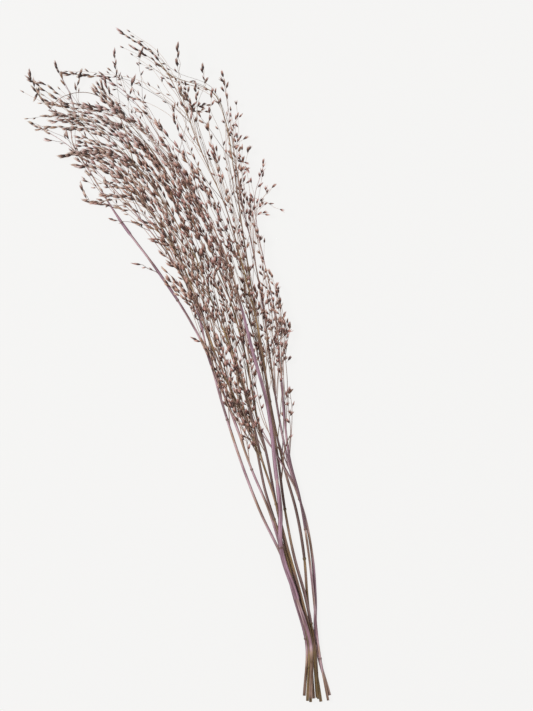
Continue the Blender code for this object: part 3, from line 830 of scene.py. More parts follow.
def chain(strand, bare, rng):
    """Spikelets down the outer part of a strand, the first at its tip. Number n stands spacing · n +
    opening · n² below it, so the tip is the thickest part. Both are larger where the grass is looser."""
    reach = strand[0]
    loose = looseness(strand[1][-1])
    spacing = part_way(CHAIN_SPACING, loose)
    opening = part_way(CHAIN_OPENING, loose)
    longest = (1 - bare) * reach[-1]
    last = (math.sqrt(spacing ** 2 + 4 * opening * longest) - spacing) / (2 * opening)
    number = np.arange(1 + int(last))
    inner = number > 0
    places = reach[-1] - spacing * number - opening * number ** 2
    places += spacing * rng.uniform(-CHAIN_UNEVEN, CHAIN_UNEVEN, len(number)) * inner
    feet = along(strand, places)
    turn = number * math.pi + rng.normal(0.0, TWIST, len(number))
    lean, stalk = loosely(feet, rng, inner)
    return hung(feet, directions(strand, places), turn, lean, stalk, rng)


print(len(chain(sample_strand, 0.0, np.random.default_rng(1))), "spikelets down a whole strand")

# %% Spikelets on branchlets and at the solid's places
ON_BRANCHLET = (1.0, 0.67, 0.33)
KEPT_ON_BRANCHLET = (1.0, 0.8, 0.4)
HUSK_TWIST = 0.9
SOLID_STALK = 0.5
SOLID_LENGTHS = (0.8, 1.0)


def spikelets_of_branchlets(lines, rng):
    """Spikelets on an array of branchlets: one at the tip of each, and others below it."""
    rows = []
    for number, share in enumerate(ON_BRANCHLET):
        chosen = lines[rng.uniform(0.0, 1.0, len(lines)) < KEPT_ON_BRANCHLET[number]]
        if len(chosen) == 0:
            continue
        ring = round(share * (BRANCHLET_RINGS - 1))
        feet = chosen[:, ring]
        ahead = unit(feet - chosen[:, ring - 1])
        right = level_right(ahead)
        turn = number * math.pi + rng.normal(0.0, HUSK_TWIST, len(feet))
        lean, stalk = loosely(feet, rng, np.full(len(feet), number > 0))
        rows.append(hung(feet, (ahead, right, np.cross(right, ahead)), turn, lean, stalk, rng))
    return rows


def solid_spikelets(strand, spikelets, rng):
    """Spikelets at the places of the solid's: the stalk runs from the strand to a little way up the solid."""
    places, roots, ways = spikelets
    feet = along(strand, np.minimum(places, strand[0][-1]))
    length = rng.uniform(*SOLID_LENGTHS, len(roots)) * (SPIKELET_LENGTH - SOLID_STALK)
    return np.column_stack([feet, roots + ways * SOLID_STALK, ways, length])


# %% Grow the fine parts of every stem
TIP_CHAIN = 12.0
LONG_TIP_CHAINS = {"stem_07": 36.0, "stem_08": 34.0}
THICK_BELOW = 0.5  # the airiness below which a main branch bears more spikelets than its solid
ADDED_BARE = 0.5
FINE_SEED = 202


def grow_fine(name):
    """All strands, twigs, branchlets and spikelets of one stem. In the thick of the bunch a main branch
    bears every third spikelet of a chain besides those of its solid."""
    spec = STEMS[name]
    rng = np.random.default_rng([SEED, FINE_SEED, STEM_NUMBER[name]])
    strands = []
    twigs = []
    branchlets = []
    spikelets = []
    for branch, solid in spec["grown"]:
        strand = smooth_strand(branch, rng)
        strands.append(strand[1])
        spikelets.append(solid_spikelets(strand, solid, rng))
        if airiness(strand[1][-1]) < THICK_BELOW:
            spikelets.append(chain(strand, ADDED_BARE, rng)[1::3])
    axis = spec["axis"]
    spikelets.append(chain(axis, 1 - LONG_TIP_CHAINS.get(name, TIP_CHAIN) / axis[0][-1], rng))
    for stem, strand, bare in SPRAYED:
        if stem != name:
            continue
        if bare == 1.0:
            twigs.append(strand[1])
            continue
        strands.append(strand[1])
        spikelets.append(chain(strand, bare, rng))
        branchlets.append(branchlets_on(strand, bare, rng))
    spec["strands"] = np.stack(strands)
    spec["twigs"] = np.array(twigs).reshape(-1, RINGS, 3)
    spec["branchlets"] = np.concatenate(branchlets)
    spec["spikelets"] = np.concatenate(spikelets + spikelets_of_branchlets(spec["branchlets"], rng))


for stem_name in STEMS:
    grow_fine(stem_name)
for grown in ("strands", "twigs", "branchlets", "spikelets"):
    print(sum(len(spec[grown]) for spec in STEMS.values()), grown)

# %% [markdown]
# ## Tubes on a grid
#
# Culms, branches, branchlets and stalks are all tubes. A curve object with a bevel makes one, but here are
# thousands, and a sheath is wider than it is high. A tube is a surface of two parameters, the ring along it
# and the turn round it, so a whole stem's branches are worked out as one array: branches by rings by sides.
# A fan closes each end. The map beside it, round by along, lets a finish follow the straw.

# %% Tubes from arrays of lines
def tube_faces(count, rings, sides):
    """Corners are numbered by tube, ring and side, and then come two poles a tube. Gives the quads between
    the rings, and the fans of triangles from the poles to the end rings."""
    index = np.arange(count * rings * sides).reshape(count, rings, sides)
    after = np.roll(index, -1, axis=2)
    quads = np.stack([index[:, :-1], index[:, 1:], after[:, 1:], after[:, :-1]], axis=-1)
    pole = index.size + np.arange(2 * count).reshape(count, 2, 1)
    first = np.stack(np.broadcast_arrays(pole[:, 0], index[:, 0], after[:, 0]), axis=-1)
    last = np.stack(np.broadcast_arrays(pole[:, 1], after[:, -1], index[:, -1]), axis=-1)
    return quads.reshape(-1, 4), np.concatenate([first.reshape(-1, 3), last.reshape(-1, 3)])


def tube_map(lines, sides):
    """Round (the turn as a share) by along (in millimetres) at each corner of the quads and of the fans."""
    count, rings = lines.shape[:2]
    step = np.linalg.norm(np.diff(lines, axis=1), axis=2)
    reach = np.concatenate([np.zeros((count, 1)), np.cumsum(step, axis=1)], axis=1)
    here = np.broadcast_to(np.arange(sides) / sides, (count, rings - 1, sides))
    there = here + 1 / sides
    low = np.broadcast_to(reach[:, :-1, None], here.shape)
    high = np.broadcast_to(reach[:, 1:, None], here.shape)
    quad_map = np.stack([here, low, here, high, there, high, there, low], axis=-1)
    one, two, foot, tip = here[:, 0], there[:, 0], low[:, 0], high[:, -1]
    first_map = np.stack([one, foot, one, foot, two, foot], axis=-1)
    last_map = np.stack([one, tip, two, tip, one, tip], axis=-1)
    return quad_map.reshape(-1, 2), np.concatenate([first_map.reshape(-1, 2), last_map.reshape(-1, 2)])


def tube_parts(lines, across, high, sides):
    """Corners line + across·cos(turn)·right + high·sin(turn)·above for every line, ring and side, then a
    pole at each end; with them the quads, the end fans and the map at the corners of both."""
    ahead = unit(np.gradient(lines, axis=1))
    right = level_right(ahead)
    above = np.cross(right, ahead)
    turn = 2 * math.pi * np.arange(sides) / sides
    corners = lines[:, :, None, :] + (across[..., None] * np.cos(turn))[..., None] * right[:, :, None, :]
    corners += (high[..., None] * np.sin(turn))[..., None] * above[:, :, None, :]
    points = np.concatenate([corners.reshape(-1, 3), lines[:, [0, -1]].reshape(-1, 3)])
    return points, *tube_faces(*lines.shape[:2], sides), *tube_map(lines, sides)


def per_corner(values, ends, sides):
    """A value of each ring given to all its corners, then the end values to the poles."""
    return np.concatenate([np.repeat(values.reshape(-1), sides), ends.reshape(-1)])


sample_tube = tube_parts(sample_strand[1][None], np.ones((1, RINGS)), np.ones((1, RINGS)), 5)
print("a tube of five sides has", len(sample_tube[1]), "quads and", len(sample_tube[2]), "triangles")

# %% Pieces from arrays
def new_piece(name, points, faces, values):
    """A smooth piece at the origin, with its place in its mesh and named values at its points."""
    mesh = bpy.data.meshes.new(name)
    mesh.from_pydata(((points - (*MIDDLE, 0.0)) * MM).tolist(), [], faces)
    for label, numbers in values.items():
        mesh.attributes.new(label, "FLOAT", "POINT").data.foreach_set("value", numbers.astype(np.float32))
    mesh.polygons.foreach_set("use_smooth", np.ones(len(mesh.polygons), bool))
    mesh.update()
    piece = bpy.data.objects.new(name, mesh)
    bpy.context.scene.collection.objects.link(piece)
    return piece


def tube_piece(name, parts, values):
    """One piece from several sets of tubes, with the map of each."""
    shift = np.cumsum([0] + [len(part[0]) for part in parts])
    quads = np.concatenate([part[1] + start for part, start in zip(parts, shift)])
    fans = np.concatenate([part[2] + start for part, start in zip(parts, shift)])
    points = np.concatenate([part[0] for part in parts])
    piece = new_piece(name, points, quads.tolist() + fans.tolist(), values)
    maps = np.concatenate([part[3] for part in parts] + [part[4] for part in parts])
    layer = piece.data.uv_layers.new(name="round_by_along")
    layer.data.foreach_set("uv", maps.astype(np.float32).ravel())
    return piece


# %% [markdown]
# ## Culms with knots and sheaths
#
# A culm is a thin hollow straw with a knot every hand's breadth. Above a knot the base of a leaf wraps it as
# a sheath, which dries paler or darker than the culm and flattens. Both could be objects of their own, but
# they are grown in one with the straw. So a knot is a short swelling of the tube with a waist on both
# sides, and a sheath widens the tube across and thins it upward, and ends in a sloping collar.

# %% Places of the knots and sheaths
# For each stem: the knots as heights up the frame in pixels from its top, and the sheaths as pairs of such
# heights with a factor across, a factor upward and a tone from 0, pale lilac, to 1, dark.
KNOTS = {
    "stem_01": [655, 420, 300], "stem_02": [640, 470, 350], "stem_03": [668, 520], "stem_04": [630, 453],
    "stem_05": [650, 505], "stem_06": [662, 548], "stem_07": [625, 510], "stem_08": [675, 560, 402],
    "stem_09": [645, 500], "stem_10": [660, 530, 420],
}
SHEATHS = {
    "stem_01": [(655, 560, 1.15, 1.05, 0.3), (234, 215, 1.5, 1.0, 0.25), (300, 262, 1.25, 1.0, 0.4)],
    "stem_02": [(640, 575, 1.15, 1.05, 0.5), (392, 350, 1.5, 1.1, 0.9), (330, 298, 1.4, 1.1, 0.15)],
    "stem_03": [(520, 455, 1.12, 1.05, 0.6)],
    "stem_04": [(453, 400, 1.15, 1.05, 0.7)],
    "stem_05": [(650, 570, 1.12, 1.05, 0.4), (505, 430, 1.15, 1.05, 0.5)],
    "stem_06": [(600, 485, 1.5, 0.8, 0.1), (480, 306, 1.4, 0.75, 0.2)],
    "stem_07": [(625, 548, 1.15, 1.05, 0.3), (510, 448, 1.15, 1.05, 0.8)],
    "stem_08": [(560, 480, 1.12, 1.0, 0.7), (402, 366, 1.2, 1.0, 0.4)],
    "stem_09": [(640, 560, 1.15, 1.05, 0.3)],
    "stem_10": [(530, 450, 1.1, 1.05, 0.8), (420, 380, 1.25, 1.05, 0.4)],
}
print(sum(map(len, KNOTS.values())), "knots and", sum(map(len, SHEATHS.values())), "sheaths")

# %% Where a culm's rings stand, and how thick it is there
RING_STEP = 2.4
KNOT_OFFSETS = np.array([-2.4, -1.5, -0.9, -0.45, 0.0, 0.45, 0.9, 1.5, 2.4])
SHEATH_EDGE = 0.5
LAST_RADIUS = 0.17
AXIS_TAPER = 1.7
SLIM_NECK = 0.9 * NECK_RADIUS
SLIM_FOOT = 0.93
SWELL, SWELL_LENGTH = 0.45, 0.7
WAIST, WAIST_LENGTH = 0.14, 2.0


def distance_at(axis, down):
    """How far along an axis its height in the frame is reached, from a pixel down from the top."""
    return float(np.interp(at_pixel(0, down)[1], axis[1][:, 1], axis[0]))


def culm_places(total, knots, sheaths):
    """Where the rings stand: in even steps, closer round each knot, and on both sides of a sheath's ends."""
    at_knots = (knots[:, None] + KNOT_OFFSETS).ravel()
    ends = np.array([place for sheath in sheaths for place in sheath[:2]])
    even = np.arange(0.0, total, RING_STEP)
    places = np.concatenate([even, [total], at_knots, ends - SHEATH_EDGE, ends + SHEATH_EDGE])
    return np.unique(np.round(np.clip(places, 0.0, total), 1))


def culm_radius(spec, places, knots):
    """The radius from foot to neck to tip, times 1 + 0.45·exp(-(d/0.7)²) - 0.14·exp(-(d/2)²) for each
    distance d from a knot; and how much of a knot each place is."""
    neck, total = neck_of(spec)
    left = np.clip((total - places) / (total - neck), 0.0, 1.0)
    radius = LAST_RADIUS + (SLIM_NECK - LAST_RADIUS) * left ** AXIS_TAPER
    radius += (SLIM_FOOT * spec["foot"] - SLIM_NECK) * np.clip(1 - places / neck, 0.0, 1.0)
    apart = places[:, None] - knots
    knot = np.exp(-(apart / SWELL_LENGTH) ** 2).sum(axis=1)
    return radius * (1 + SWELL * knot - WAIST * np.exp(-(apart / WAIST_LENGTH) ** 2).sum(axis=1)), knot


# %% A culm in its sheaths
CULM_SIDES = 12
COLLAR_STEEP = 3
TOP_STEEP = 0.7
CULM_FLOOR = 0.02
AXIS_FINENESS = 0.3


def eased(distance, steepness):
    """From 0 well before a place to 1 well past it: 1 / (1 + exp(-steepness · distance))."""
    return 1 / (1 + np.exp(-np.clip(steepness * distance, -40, 40)))


def culm_parts(name):
    """The tube of a culm and its axis, with the values that the straw's finish reads. Across and upward the
    radius is multiplied by a sheath's factors, eased in at its foot and, more gently, out at its end."""
    spec = STEMS[name]
    axis = spec["axis"]
    total = axis[0][-1]
    knots = np.array([distance_at(axis, down) for down in KNOTS[name]])
    sheaths = [(distance_at(axis, low), distance_at(axis, high), *rest)
               for low, high, *rest in SHEATHS[name]]
    places = culm_places(total, knots, sheaths)
    radius, knot = culm_radius(spec, places, knots)
    across = radius.copy()
    high = radius.copy()
    sheath = np.zeros(len(places))
    dark = np.zeros(len(places))
    for foot, end, wide, tall, tone in sheaths:
        inside = eased(places - foot, COLLAR_STEEP) * eased(end - places, TOP_STEEP)
        across *= 1 + (wide - 1) * inside
        high *= 1 + (tall - 1) * inside
        sheath = np.maximum(sheath, inside)
        dark = np.where(inside > 0.5, tone, dark)
    line = on_line(axis, places)
    line[:, 2] = np.maximum(line[:, 2], high + CULM_FLOOR)
    values = {"knot": knot, "sheath": sheath, "dark": dark, "fine": places / total * AXIS_FINENESS}
    ends = {"fine": np.array([0.0, AXIS_FINENESS])}
    values = {label: per_corner(given, ends.get(label, np.zeros(2)), CULM_SIDES)
              for label, given in values.items()}
    return tube_parts(line[None], across[None], high[None], CULM_SIDES), values


print("the first culm has", len(culm_parts("stem_01")[0][0]), "points")

# %% [markdown]
# ## The straw of a stem
#
# The branches, twigs, branchlets and stalks go into one mesh with their culm, because they grow from it.
# They are thinnest where the bunch is airy and stoutest low down, where the panicles begin. Real branches
# also differ in tone from one to the next, so each draws its own.

# %% Branches, twigs, branchlets and stalks
FINE_SETS = {  # the radii from root to tip, the sides, and how much each takes of the fine straw's colour
    "strands": ((0.24, 0.11), 5, 0.6),
    "twigs": ((0.38, 0.24), 5, 0.3),
    "branchlets": ((0.15, 0.1), 4, 0.8),
    "stalks": ((0.1, 0.1), 3, 1.0),
}
LOW_UNTIL = 20.0
LOW_FADE = 60.0
AIRY_SLIM = 0.35
LOW_STOUT = 0.35
LOOSE_PALE = 0.85
SHORTEST_STALK = 0.3
TONE_SEED = 404


def fine_parts(lines, radii, sides, fineness):
    """Tapered tubes on lines, their radii times 1 - 0.35·airiness·(1 - low) + 0.35·low, where low is 1 at
    the foot of the panicles. Each draws a tone, times 1 - 0.85·looseness·(1 - low)."""
    tips = lines[:, -1]
    low = 1 - rising(tips[:, 1], LOW_UNTIL, LOW_FADE)
    stout = 1 - AIRY_SLIM * airiness(tips) * (1 - low) + LOW_STOUT * low
    radius = np.linspace(*radii, lines.shape[1]) * stout[:, None]
    part = tube_parts(lines, radius, radius, sides)
    tone = np.random.default_rng([SEED, TONE_SEED, len(lines)]).uniform(0.0, 1.0, len(lines))
    tone *= 1 - LOOSE_PALE * looseness(tips) * (1 - low)
    none = np.zeros(len(part[0]))
    dark = per_corner(np.repeat(tone, lines.shape[1]), np.repeat(tone, 2), sides)
    return part, {"knot": none, "sheath": none, "dark": dark, "fine": np.full(len(none), fineness)}


def straw_piece(name):
    """Culm, branches, twigs, branchlets and stalks of one stem as one mesh. A stalk is a line of three
    points from its foot to its husk, and the shortest are left out."""
    spec = STEMS[name]
    feet = spec["spikelets"][:, :3]
    bases = spec["spikelets"][:, 3:6]
    stalked = np.linalg.norm(feet - bases, axis=1) > SHORTEST_STALK
    spec["stalks"] = np.stack([feet, (feet + bases) / 2, bases], axis=1)[stalked]
    sets = [culm_parts(name)] + [fine_parts(spec[grown], *given) for grown, given in FINE_SETS.items()]
    values = {label: np.concatenate([given[label] for part, given in sets]) for label in sets[0][1]}
    return tube_piece(name + "_straw", [part for part, given in sets], values)


# %% [markdown]
# ## Spikelets
#
# A spikelet is a seed in its husk: a plump pointed floret between two boat-shaped glumes that gape when they
# are dry. One could be modelled with care and copied, but then all would gape alike. More than two thousand
# are needed, so each has only 76 triangles. A floret or a glume is a profile carried round its axis, and
# every spikelet of a stem is worked out in one array, its own gape included.

# %% A closed pod
def pod(shares, widths, sides, across, deep):
    """A closed pod from (0,0,0) to (0,0,1): rings of corners at the shares, across·width·cos(turn) by
    deep·width·sin(turn), and a pole at both ends. Returns points and triangles."""
    turn = 2 * math.pi * np.arange(sides) / sides + math.pi / 2
    ring = np.stack([across * np.cos(turn), deep * np.sin(turn), np.zeros(sides)], axis=-1)
    corners = widths[:, None, None] * ring + shares[:, None, None] * np.array([0.0, 0.0, 1.0])
    points = np.concatenate([corners.reshape(-1, 3), [[0.0, 0.0, 0.0], [0.0, 0.0, 1.0]]])
    index = np.arange(len(shares) * sides).reshape(len(shares), sides)
    after = np.roll(index, -1, axis=1)
    lower = np.stack([index[:-1], after[:-1], after[1:]], axis=-1).reshape(-1, 3)
    upper = np.stack([index[:-1], after[1:], index[1:]], axis=-1).reshape(-1, 3)
    foot = np.full(sides, index.size)
    bottom = np.stack([foot, after[0], index[0]], axis=-1)
    top = np.stack([foot + 1, index[-1], after[-1]], axis=-1)
    return points, np.concatenate([lower, upper, bottom, top])


print("a pod of two rings of three has", len(pod(np.ones(2), np.ones(2), 3, 1.0, 1.0)[1]), "triangles")

# %% The form of one spikelet
FLORET_SHARES = np.array([0.1, 0.32, 0.58, 0.82])
FLORET_WIDTHS = np.array([0.55, 1.0, 0.8, 0.36])
FLORET_SIDES = 5
FLORET_SIZE = (0.165, 0.13)  # half its width and half its depth, as shares of the spikelet's length
FLORET_LENGTH = 0.9
GLUME_SHARES = np.array([0.12, 0.42, 0.78])
GLUME_WIDTHS = np.array([0.6, 1.0, 0.55])
GLUME_SIDES = 3
GLUME_SIZE = (0.15, 0.05)
GLUMES = ((1.0, 1.0), (-1.0, 0.86))  # the side of the floret that each is on, and its length
GLUME_STAND = 0.11
GLUME_ARCH = 0.8
GAPE_BEND = 1.6


def spikelet_form():
    """The still part of a spikelet, how its points move as it gapes, its triangles, and where it is glume.
    A glume stands off the floret by 0.11·sin(0.8π·share) and gapes by share^1.6."""
    floret, floret_faces = pod(FLORET_SHARES, FLORET_WIDTHS, FLORET_SIDES, *FLORET_SIZE)
    glume, glume_faces = pod(GLUME_SHARES, GLUME_WIDTHS, GLUME_SIDES, *GLUME_SIZE)
    still = [floret * (1, 1, FLORET_LENGTH)]
    gaping = [np.zeros_like(floret)]
    faces = [floret_faces]
    arch = np.sin(math.pi * np.clip(glume[:, 2:] * GLUME_ARCH, 0, 1))
    for side, long in GLUMES:
        faces.append((glume_faces if side > 0 else glume_faces[:, ::-1]) + sum(map(len, still)))
        still.append(glume * (1, side, long) + np.array([0.0, GLUME_STAND * side, 0.0]) * arch)
        gaping.append(np.column_stack([np.zeros(len(glume)), side * glume[:, 2] ** GAPE_BEND,
                                       np.zeros(len(glume))]))
    is_glume = np.concatenate([np.zeros(len(floret)), np.ones(2 * len(glume))])
    return np.concatenate(still), np.concatenate(gaping), np.concatenate(faces), is_glume


STILL, GAPING, FORM_FACES, IS_GLUME = spikelet_form()
print("a spikelet has", len(STILL), "points and", len(FORM_FACES), "triangles")

# %% Every spikelet of a stem
GAPE = (0.1, 0.3)
GAPE_SKEW = 1.3
PLUMP = (0.76, 1.08)
OWN_PLUMP = (0.88, 1.12)
HUSK_FLOOR = 0.05


def husk_points(rows, rng):
    """Points base + length · (x·side + y·back + z·way) for every row and every point of the form. Husks
    gape wider and are plumper where the grass is looser."""
    count = len(rows)
    bases = rows[:, 3:6]
    loose = looseness(bases)
    gape = rng.uniform(0.0, 1.0, count) ** GAPE_SKEW * part_way(GAPE, loose)
    local = STILL[None] + gape[:, None, None] * GAPING[None]
    way = unit(rows[:, 6:9])
    level = level_right(way)
    side = turned(level, np.cross(level, way), rng.uniform(0.0, math.pi, count))
    back = np.cross(way, side)
    plump = (rng.uniform(*OWN_PLUMP, count) * part_way(PLUMP, loose))[:, None, None]
    points = bases[:, None, :] + rows[:, 9][:, None, None] * (
        plump * local[..., :1] * side[:, None] + plump * local[..., 1:2] * back[:, None]
        + local[..., 2:] * way[:, None])
    points[..., 2] = np.maximum(points[..., 2], HUSK_FLOOR)
    return points.reshape(-1, 3)


# %% [markdown]
# ## What each husk tells its finish
#
# Painting thousands of husks is out of the question, so each carries a few numbers that its finish turns
# into colour. Ripe runs from its root to its tip. Tone says how ripe it is as a whole. Rosy is larger
# towards the lower right of the bunch and smaller along its top, and tan is larger towards its left edge.
# Odd is drawn evenly, and picks out the few that are orange brown.

# %% Values of the husks
ROSY_AT_ZERO = 0.9
ROSY_PER_MM = 0.012
ROSY_TOP_FROM = 110
ROSY_TOP_LOSS = 0.01
ROSY_UNEVEN = 0.16
TONE_TOP = (160, 20)
TONE_TOP_LOSS = 0.8
TAN_UP = 0.44
TAN_EDGE = (8, 50)
TAN_AT_EDGE = 0.75
TAN_LOSS = 0.6
TAN_UNEVEN = 0.25
HUSK_SEED = 303


def husk_values(rows, rng):
    """Rosy is 0.9 + 0.012 x - 0.01·(y past 110); tone is drawn and lowered past y = 160; tan is 0.75 less
    0.6 times the way across, x + 0.44 y from 8 to 58. Rosy and tan vary from husk to husk."""
    count = len(rows)
    x, y = rows[:, 3], rows[:, 4]
    rosy = ROSY_AT_ZERO + ROSY_PER_MM * x - ROSY_TOP_LOSS * np.maximum(y - ROSY_TOP_FROM, 0)
    rosy += rng.normal(0.0, ROSY_UNEVEN, count)
    tone = rng.uniform(0.0, 1.0, count) * (1 - TONE_TOP_LOSS * rising(y, *TONE_TOP))
    tan = TAN_AT_EDGE - TAN_LOSS * rising(x + TAN_UP * y, *TAN_EDGE) + rng.normal(0.0, TAN_UNEVEN, count)
    of_each = {
        "tan": np.clip(tan, 0.0, 1.0), "tone": tone, "odd": rng.uniform(0.0, 1.0, count),
        "rosy": np.clip(rosy, 0.0, 1.0),
    }
    values = {label: np.repeat(given, len(STILL)) for label, given in of_each.items()}
    return {"ripe": np.tile(STILL[:, 2], count), "glume": np.tile(IS_GLUME, count), **values}


def husk_piece(name):
    """All spikelets of a stem as one mesh."""
    rows = STEMS[name]["spikelets"]
    rng = np.random.default_rng([SEED, HUSK_SEED, STEM_NUMBER[name]])
    points = husk_points(rows, rng)
    faces = FORM_FACES[None] + len(STILL) * np.arange(len(rows))[:, None, None]
    return new_piece(name + "_husks", points, faces.reshape(-1, 3).tolist(), husk_values(rows, rng))


# %% [markdown]
# ## Finishes
#
# Dry straw isn't one colour. Long fine streaks run with the straw, knots are olive brown, sheaths are pale
# lilac or a dull purple, and the finest branches are paler than the culm. Painted shade also darkens both
# level sides of each culm, so that from above its edges look dark. A picture wrapped round each stem would
# blur from close by, so the finish is worked out by nodes. The streaks and the painted shade read the map
# that follows the straw, and the rest reads the values that the mesh carries. Each helper below adds a node
# or two.

# %% Colours and materials
def linear(red, green, blue):
    """A colour from 0 to 255 as the renderer counts light: ((c + 0.055) / 1.055)^2.4."""
    return tuple(((part / 255 + 0.055) / 1.055) ** 2.4 for part in (red, green, blue))


def shade(name, roughness):
    """A new material with its node tree and its shader."""
    material = bpy.data.materials.new(name)
    material.use_nodes = True
    shader = material.node_tree.nodes["Principled BSDF"]
    shader.inputs["Roughness"].default_value = roughness
    return material, material.node_tree, shader


print("the sheaths' lilac as the renderer counts it:", np.round(linear(192, 152, 172), 3))

# %% Nodes that read a place or a value
def feed(tree, socket, given):
    """Gives a socket a number, a colour or what another socket puts out."""
    if isinstance(given, float):
        socket.default_value = given
    elif isinstance(given, tuple):
        socket.default_value = (*given, 1.0)
    else:
        tree.links.new(given, socket)


def value_of(tree, label):
    """The value that the mesh carries under that name."""
    node = tree.nodes.new("ShaderNodeAttribute")
    node.attribute_name = label
    return node.outputs["Fac"]


def object_place(tree):
    """The place of a point in the frame, which fixes a pattern to the object."""
    return tree.nodes.new("ShaderNodeTexCoord").outputs["Object"]


def noise(tree, place, scale, detail):
    """Soft noise, round 0.5, with that many spots to the unit of the place."""
    node = tree.nodes.new("ShaderNodeTexNoise")
    node.inputs["Scale"].default_value = scale
    node.inputs["Detail"].default_value = detail
    tree.links.new(place, node.inputs["Vector"])
    return node.outputs["Fac"]


def ranged(tree, source, low, high):
    """A share of the way from low to high, eased."""
    node = tree.nodes.new("ShaderNodeMapRange")
    node.interpolation_type = "SMOOTHSTEP"
    node.inputs["From Min"].default_value = low
    node.inputs["From Max"].default_value = high
    tree.links.new(source, node.inputs["Value"])
    return node.outputs["Result"]


def calculated(tree, operation, *terms, clamp=True):
    """A Math node on sockets and numbers, kept from 0 to 1 unless told otherwise."""
    node = tree.nodes.new("ShaderNodeMath")
    node.operation = operation
    node.use_clamp = clamp
    for socket, term in zip(node.inputs, terms):
        feed(tree, socket, term)
    return node.outputs["Value"]


# %% Nodes that make a colour
def mixed(tree, share, first, second, blend="MIX"):
    """A mix of two colours by a share."""
    node = tree.nodes.new("ShaderNodeMix")
    node.data_type = "RGBA"
    node.blend_type = blend
    colours = [socket for socket in node.inputs if socket.type == "RGBA"]
    factors = [socket for socket in node.inputs if socket.type == "VALUE" and socket.name == "Factor"]
    feed(tree, factors[0], share)
    feed(tree, colours[0], first)
    feed(tree, colours[1], second)
    return [socket for socket in node.outputs if socket.type == "RGBA"][0]


def covered(tree, colour, cover, share, strength):
    """A colour laid over another where a share is large: from colour to cover by share · strength."""
    return mixed(tree, calculated(tree, "MULTIPLY", share, strength), colour, cover)


def colours_by(tree, share, *stops):
    """Colours by a share, each stop a position and a colour from 0 to 255, straight between stops."""
    node = tree.nodes.new("ShaderNodeValToRGB")
    elements = node.color_ramp.elements
    elements[0].position = stops[0][0]
    elements[1].position = stops[-1][0]
    for position, _ in stops[1:-1]:
        elements.new(position)
    for element, (_, colour) in zip(elements, stops):
        element.color = (*linear(*colour), 1.0)
    tree.links.new(share, node.inputs["Fac"])
    return node.outputs["Color"]


# %% The surface of a finish
RELIEF = 0.1 * MM


def finish_surface(tree, shader, colour, height, strength, sheen):
    """Gives the shader its colour, its sheen, and fine relief from a height."""
    bump = tree.nodes.new("ShaderNodeBump")
    bump.inputs["Strength"].default_value = strength
    bump.inputs["Distance"].default_value = RELIEF
    tree.links.new(height, bump.inputs["Height"])
    tree.links.new(bump.outputs["Normal"], shader.inputs["Normal"])
    tree.links.new(colour, shader.inputs["Base Color"])
    shader.inputs["Sheen Weight"].default_value = sheen


# %% Patterns on the straw
STREAKS = (5.0, 0.045, 1.0)  # streaks to a turn, and to a millimetre along
STREAK_DETAIL = 4.0
VEINS = (0.42, 0.62)
# Painted shade: the two level sides of a tube, its edges as seen from above, are darkened.
SHADED_SIDES = 2
SIDE_SHADE_EDGES = (0.1, 1.0)
FOLDS = 8
FOLD_EDGES = (0.3, 1.0)


def waves_round(tree, turn, waves, edges):
    """Lines along the straw: the crests of cos(2π·waves·turn), from one edge to the other."""
    angle = calculated(tree, "MULTIPLY", turn, 2 * math.pi * waves, clamp=False)
    return ranged(tree, calculated(tree, "COSINE", angle, clamp=False), *edges)


def straw_patterns(tree):
    """Streaks drawn out along the straw, veins where they are strong, painted shade on the two level sides,
    and eight folds.
    """
    follow = tree.nodes.new("ShaderNodeUVMap")
    follow.uv_map = "round_by_along"
    stretch = tree.nodes.new("ShaderNodeMapping")
    stretch.inputs["Scale"].default_value = STREAKS
    tree.links.new(follow.outputs["UV"], stretch.inputs["Vector"])
    streaks = noise(tree, stretch.outputs["Vector"], 1.0, STREAK_DETAIL)
    split = tree.nodes.new("ShaderNodeSeparateXYZ")
    tree.links.new(follow.outputs["UV"], split.inputs["Vector"])
    turn = split.outputs["X"]
    # Painted shade on both level sides of the tube, where cos(4π·turn) crests.
    side_shade = waves_round(tree, turn, SHADED_SIDES, SIDE_SHADE_EDGES)
    return streaks, ranged(tree, streaks, *VEINS), side_shade, waves_round(tree, turn, FOLDS, FOLD_EDGES)


# %% Straw
PATCH_SCALE = 38.0
PATCH_DETAIL = 3.0
PATCH_STOPS = (0.33, 0.45, 0.56, 0.66)
VEIN_STRENGTH = 0.75
SHEATH_VEIN_STRENGTH = 0.65
FOLD_STRENGTH = 0.45
# How far the painted shade on the sides goes towards the deep colour.
SIDE_SHADE_STRENGTH = 0.75
FINE_EDGES = (0.2, 0.7)
FINE_DARK = 0.9
KNOT_STRENGTH = 0.8
STRAW_ROUGHNESS = 0.45
STREAK_RELIEF = 0.35
STRAW_SHEEN = 0.08

STRAW_COLOURS = {
    "lilac_straw": dict(
        patches=((120, 90, 68), (184, 150, 132), (204, 170, 178), (160, 120, 132)), deep=(70, 38, 34),
        sheath=(192, 152, 172), dark_sheath=(104, 74, 82), knot=(92, 66, 36), fine=(206, 174, 158)),
    "brown_straw": dict(
        patches=((118, 92, 42), (170, 138, 92), (160, 126, 110), (124, 96, 60)), deep=(56, 32, 22),
        sheath=(180, 146, 142), dark_sheath=(92, 66, 60), knot=(92, 74, 32), fine=(204, 172, 150)),
}


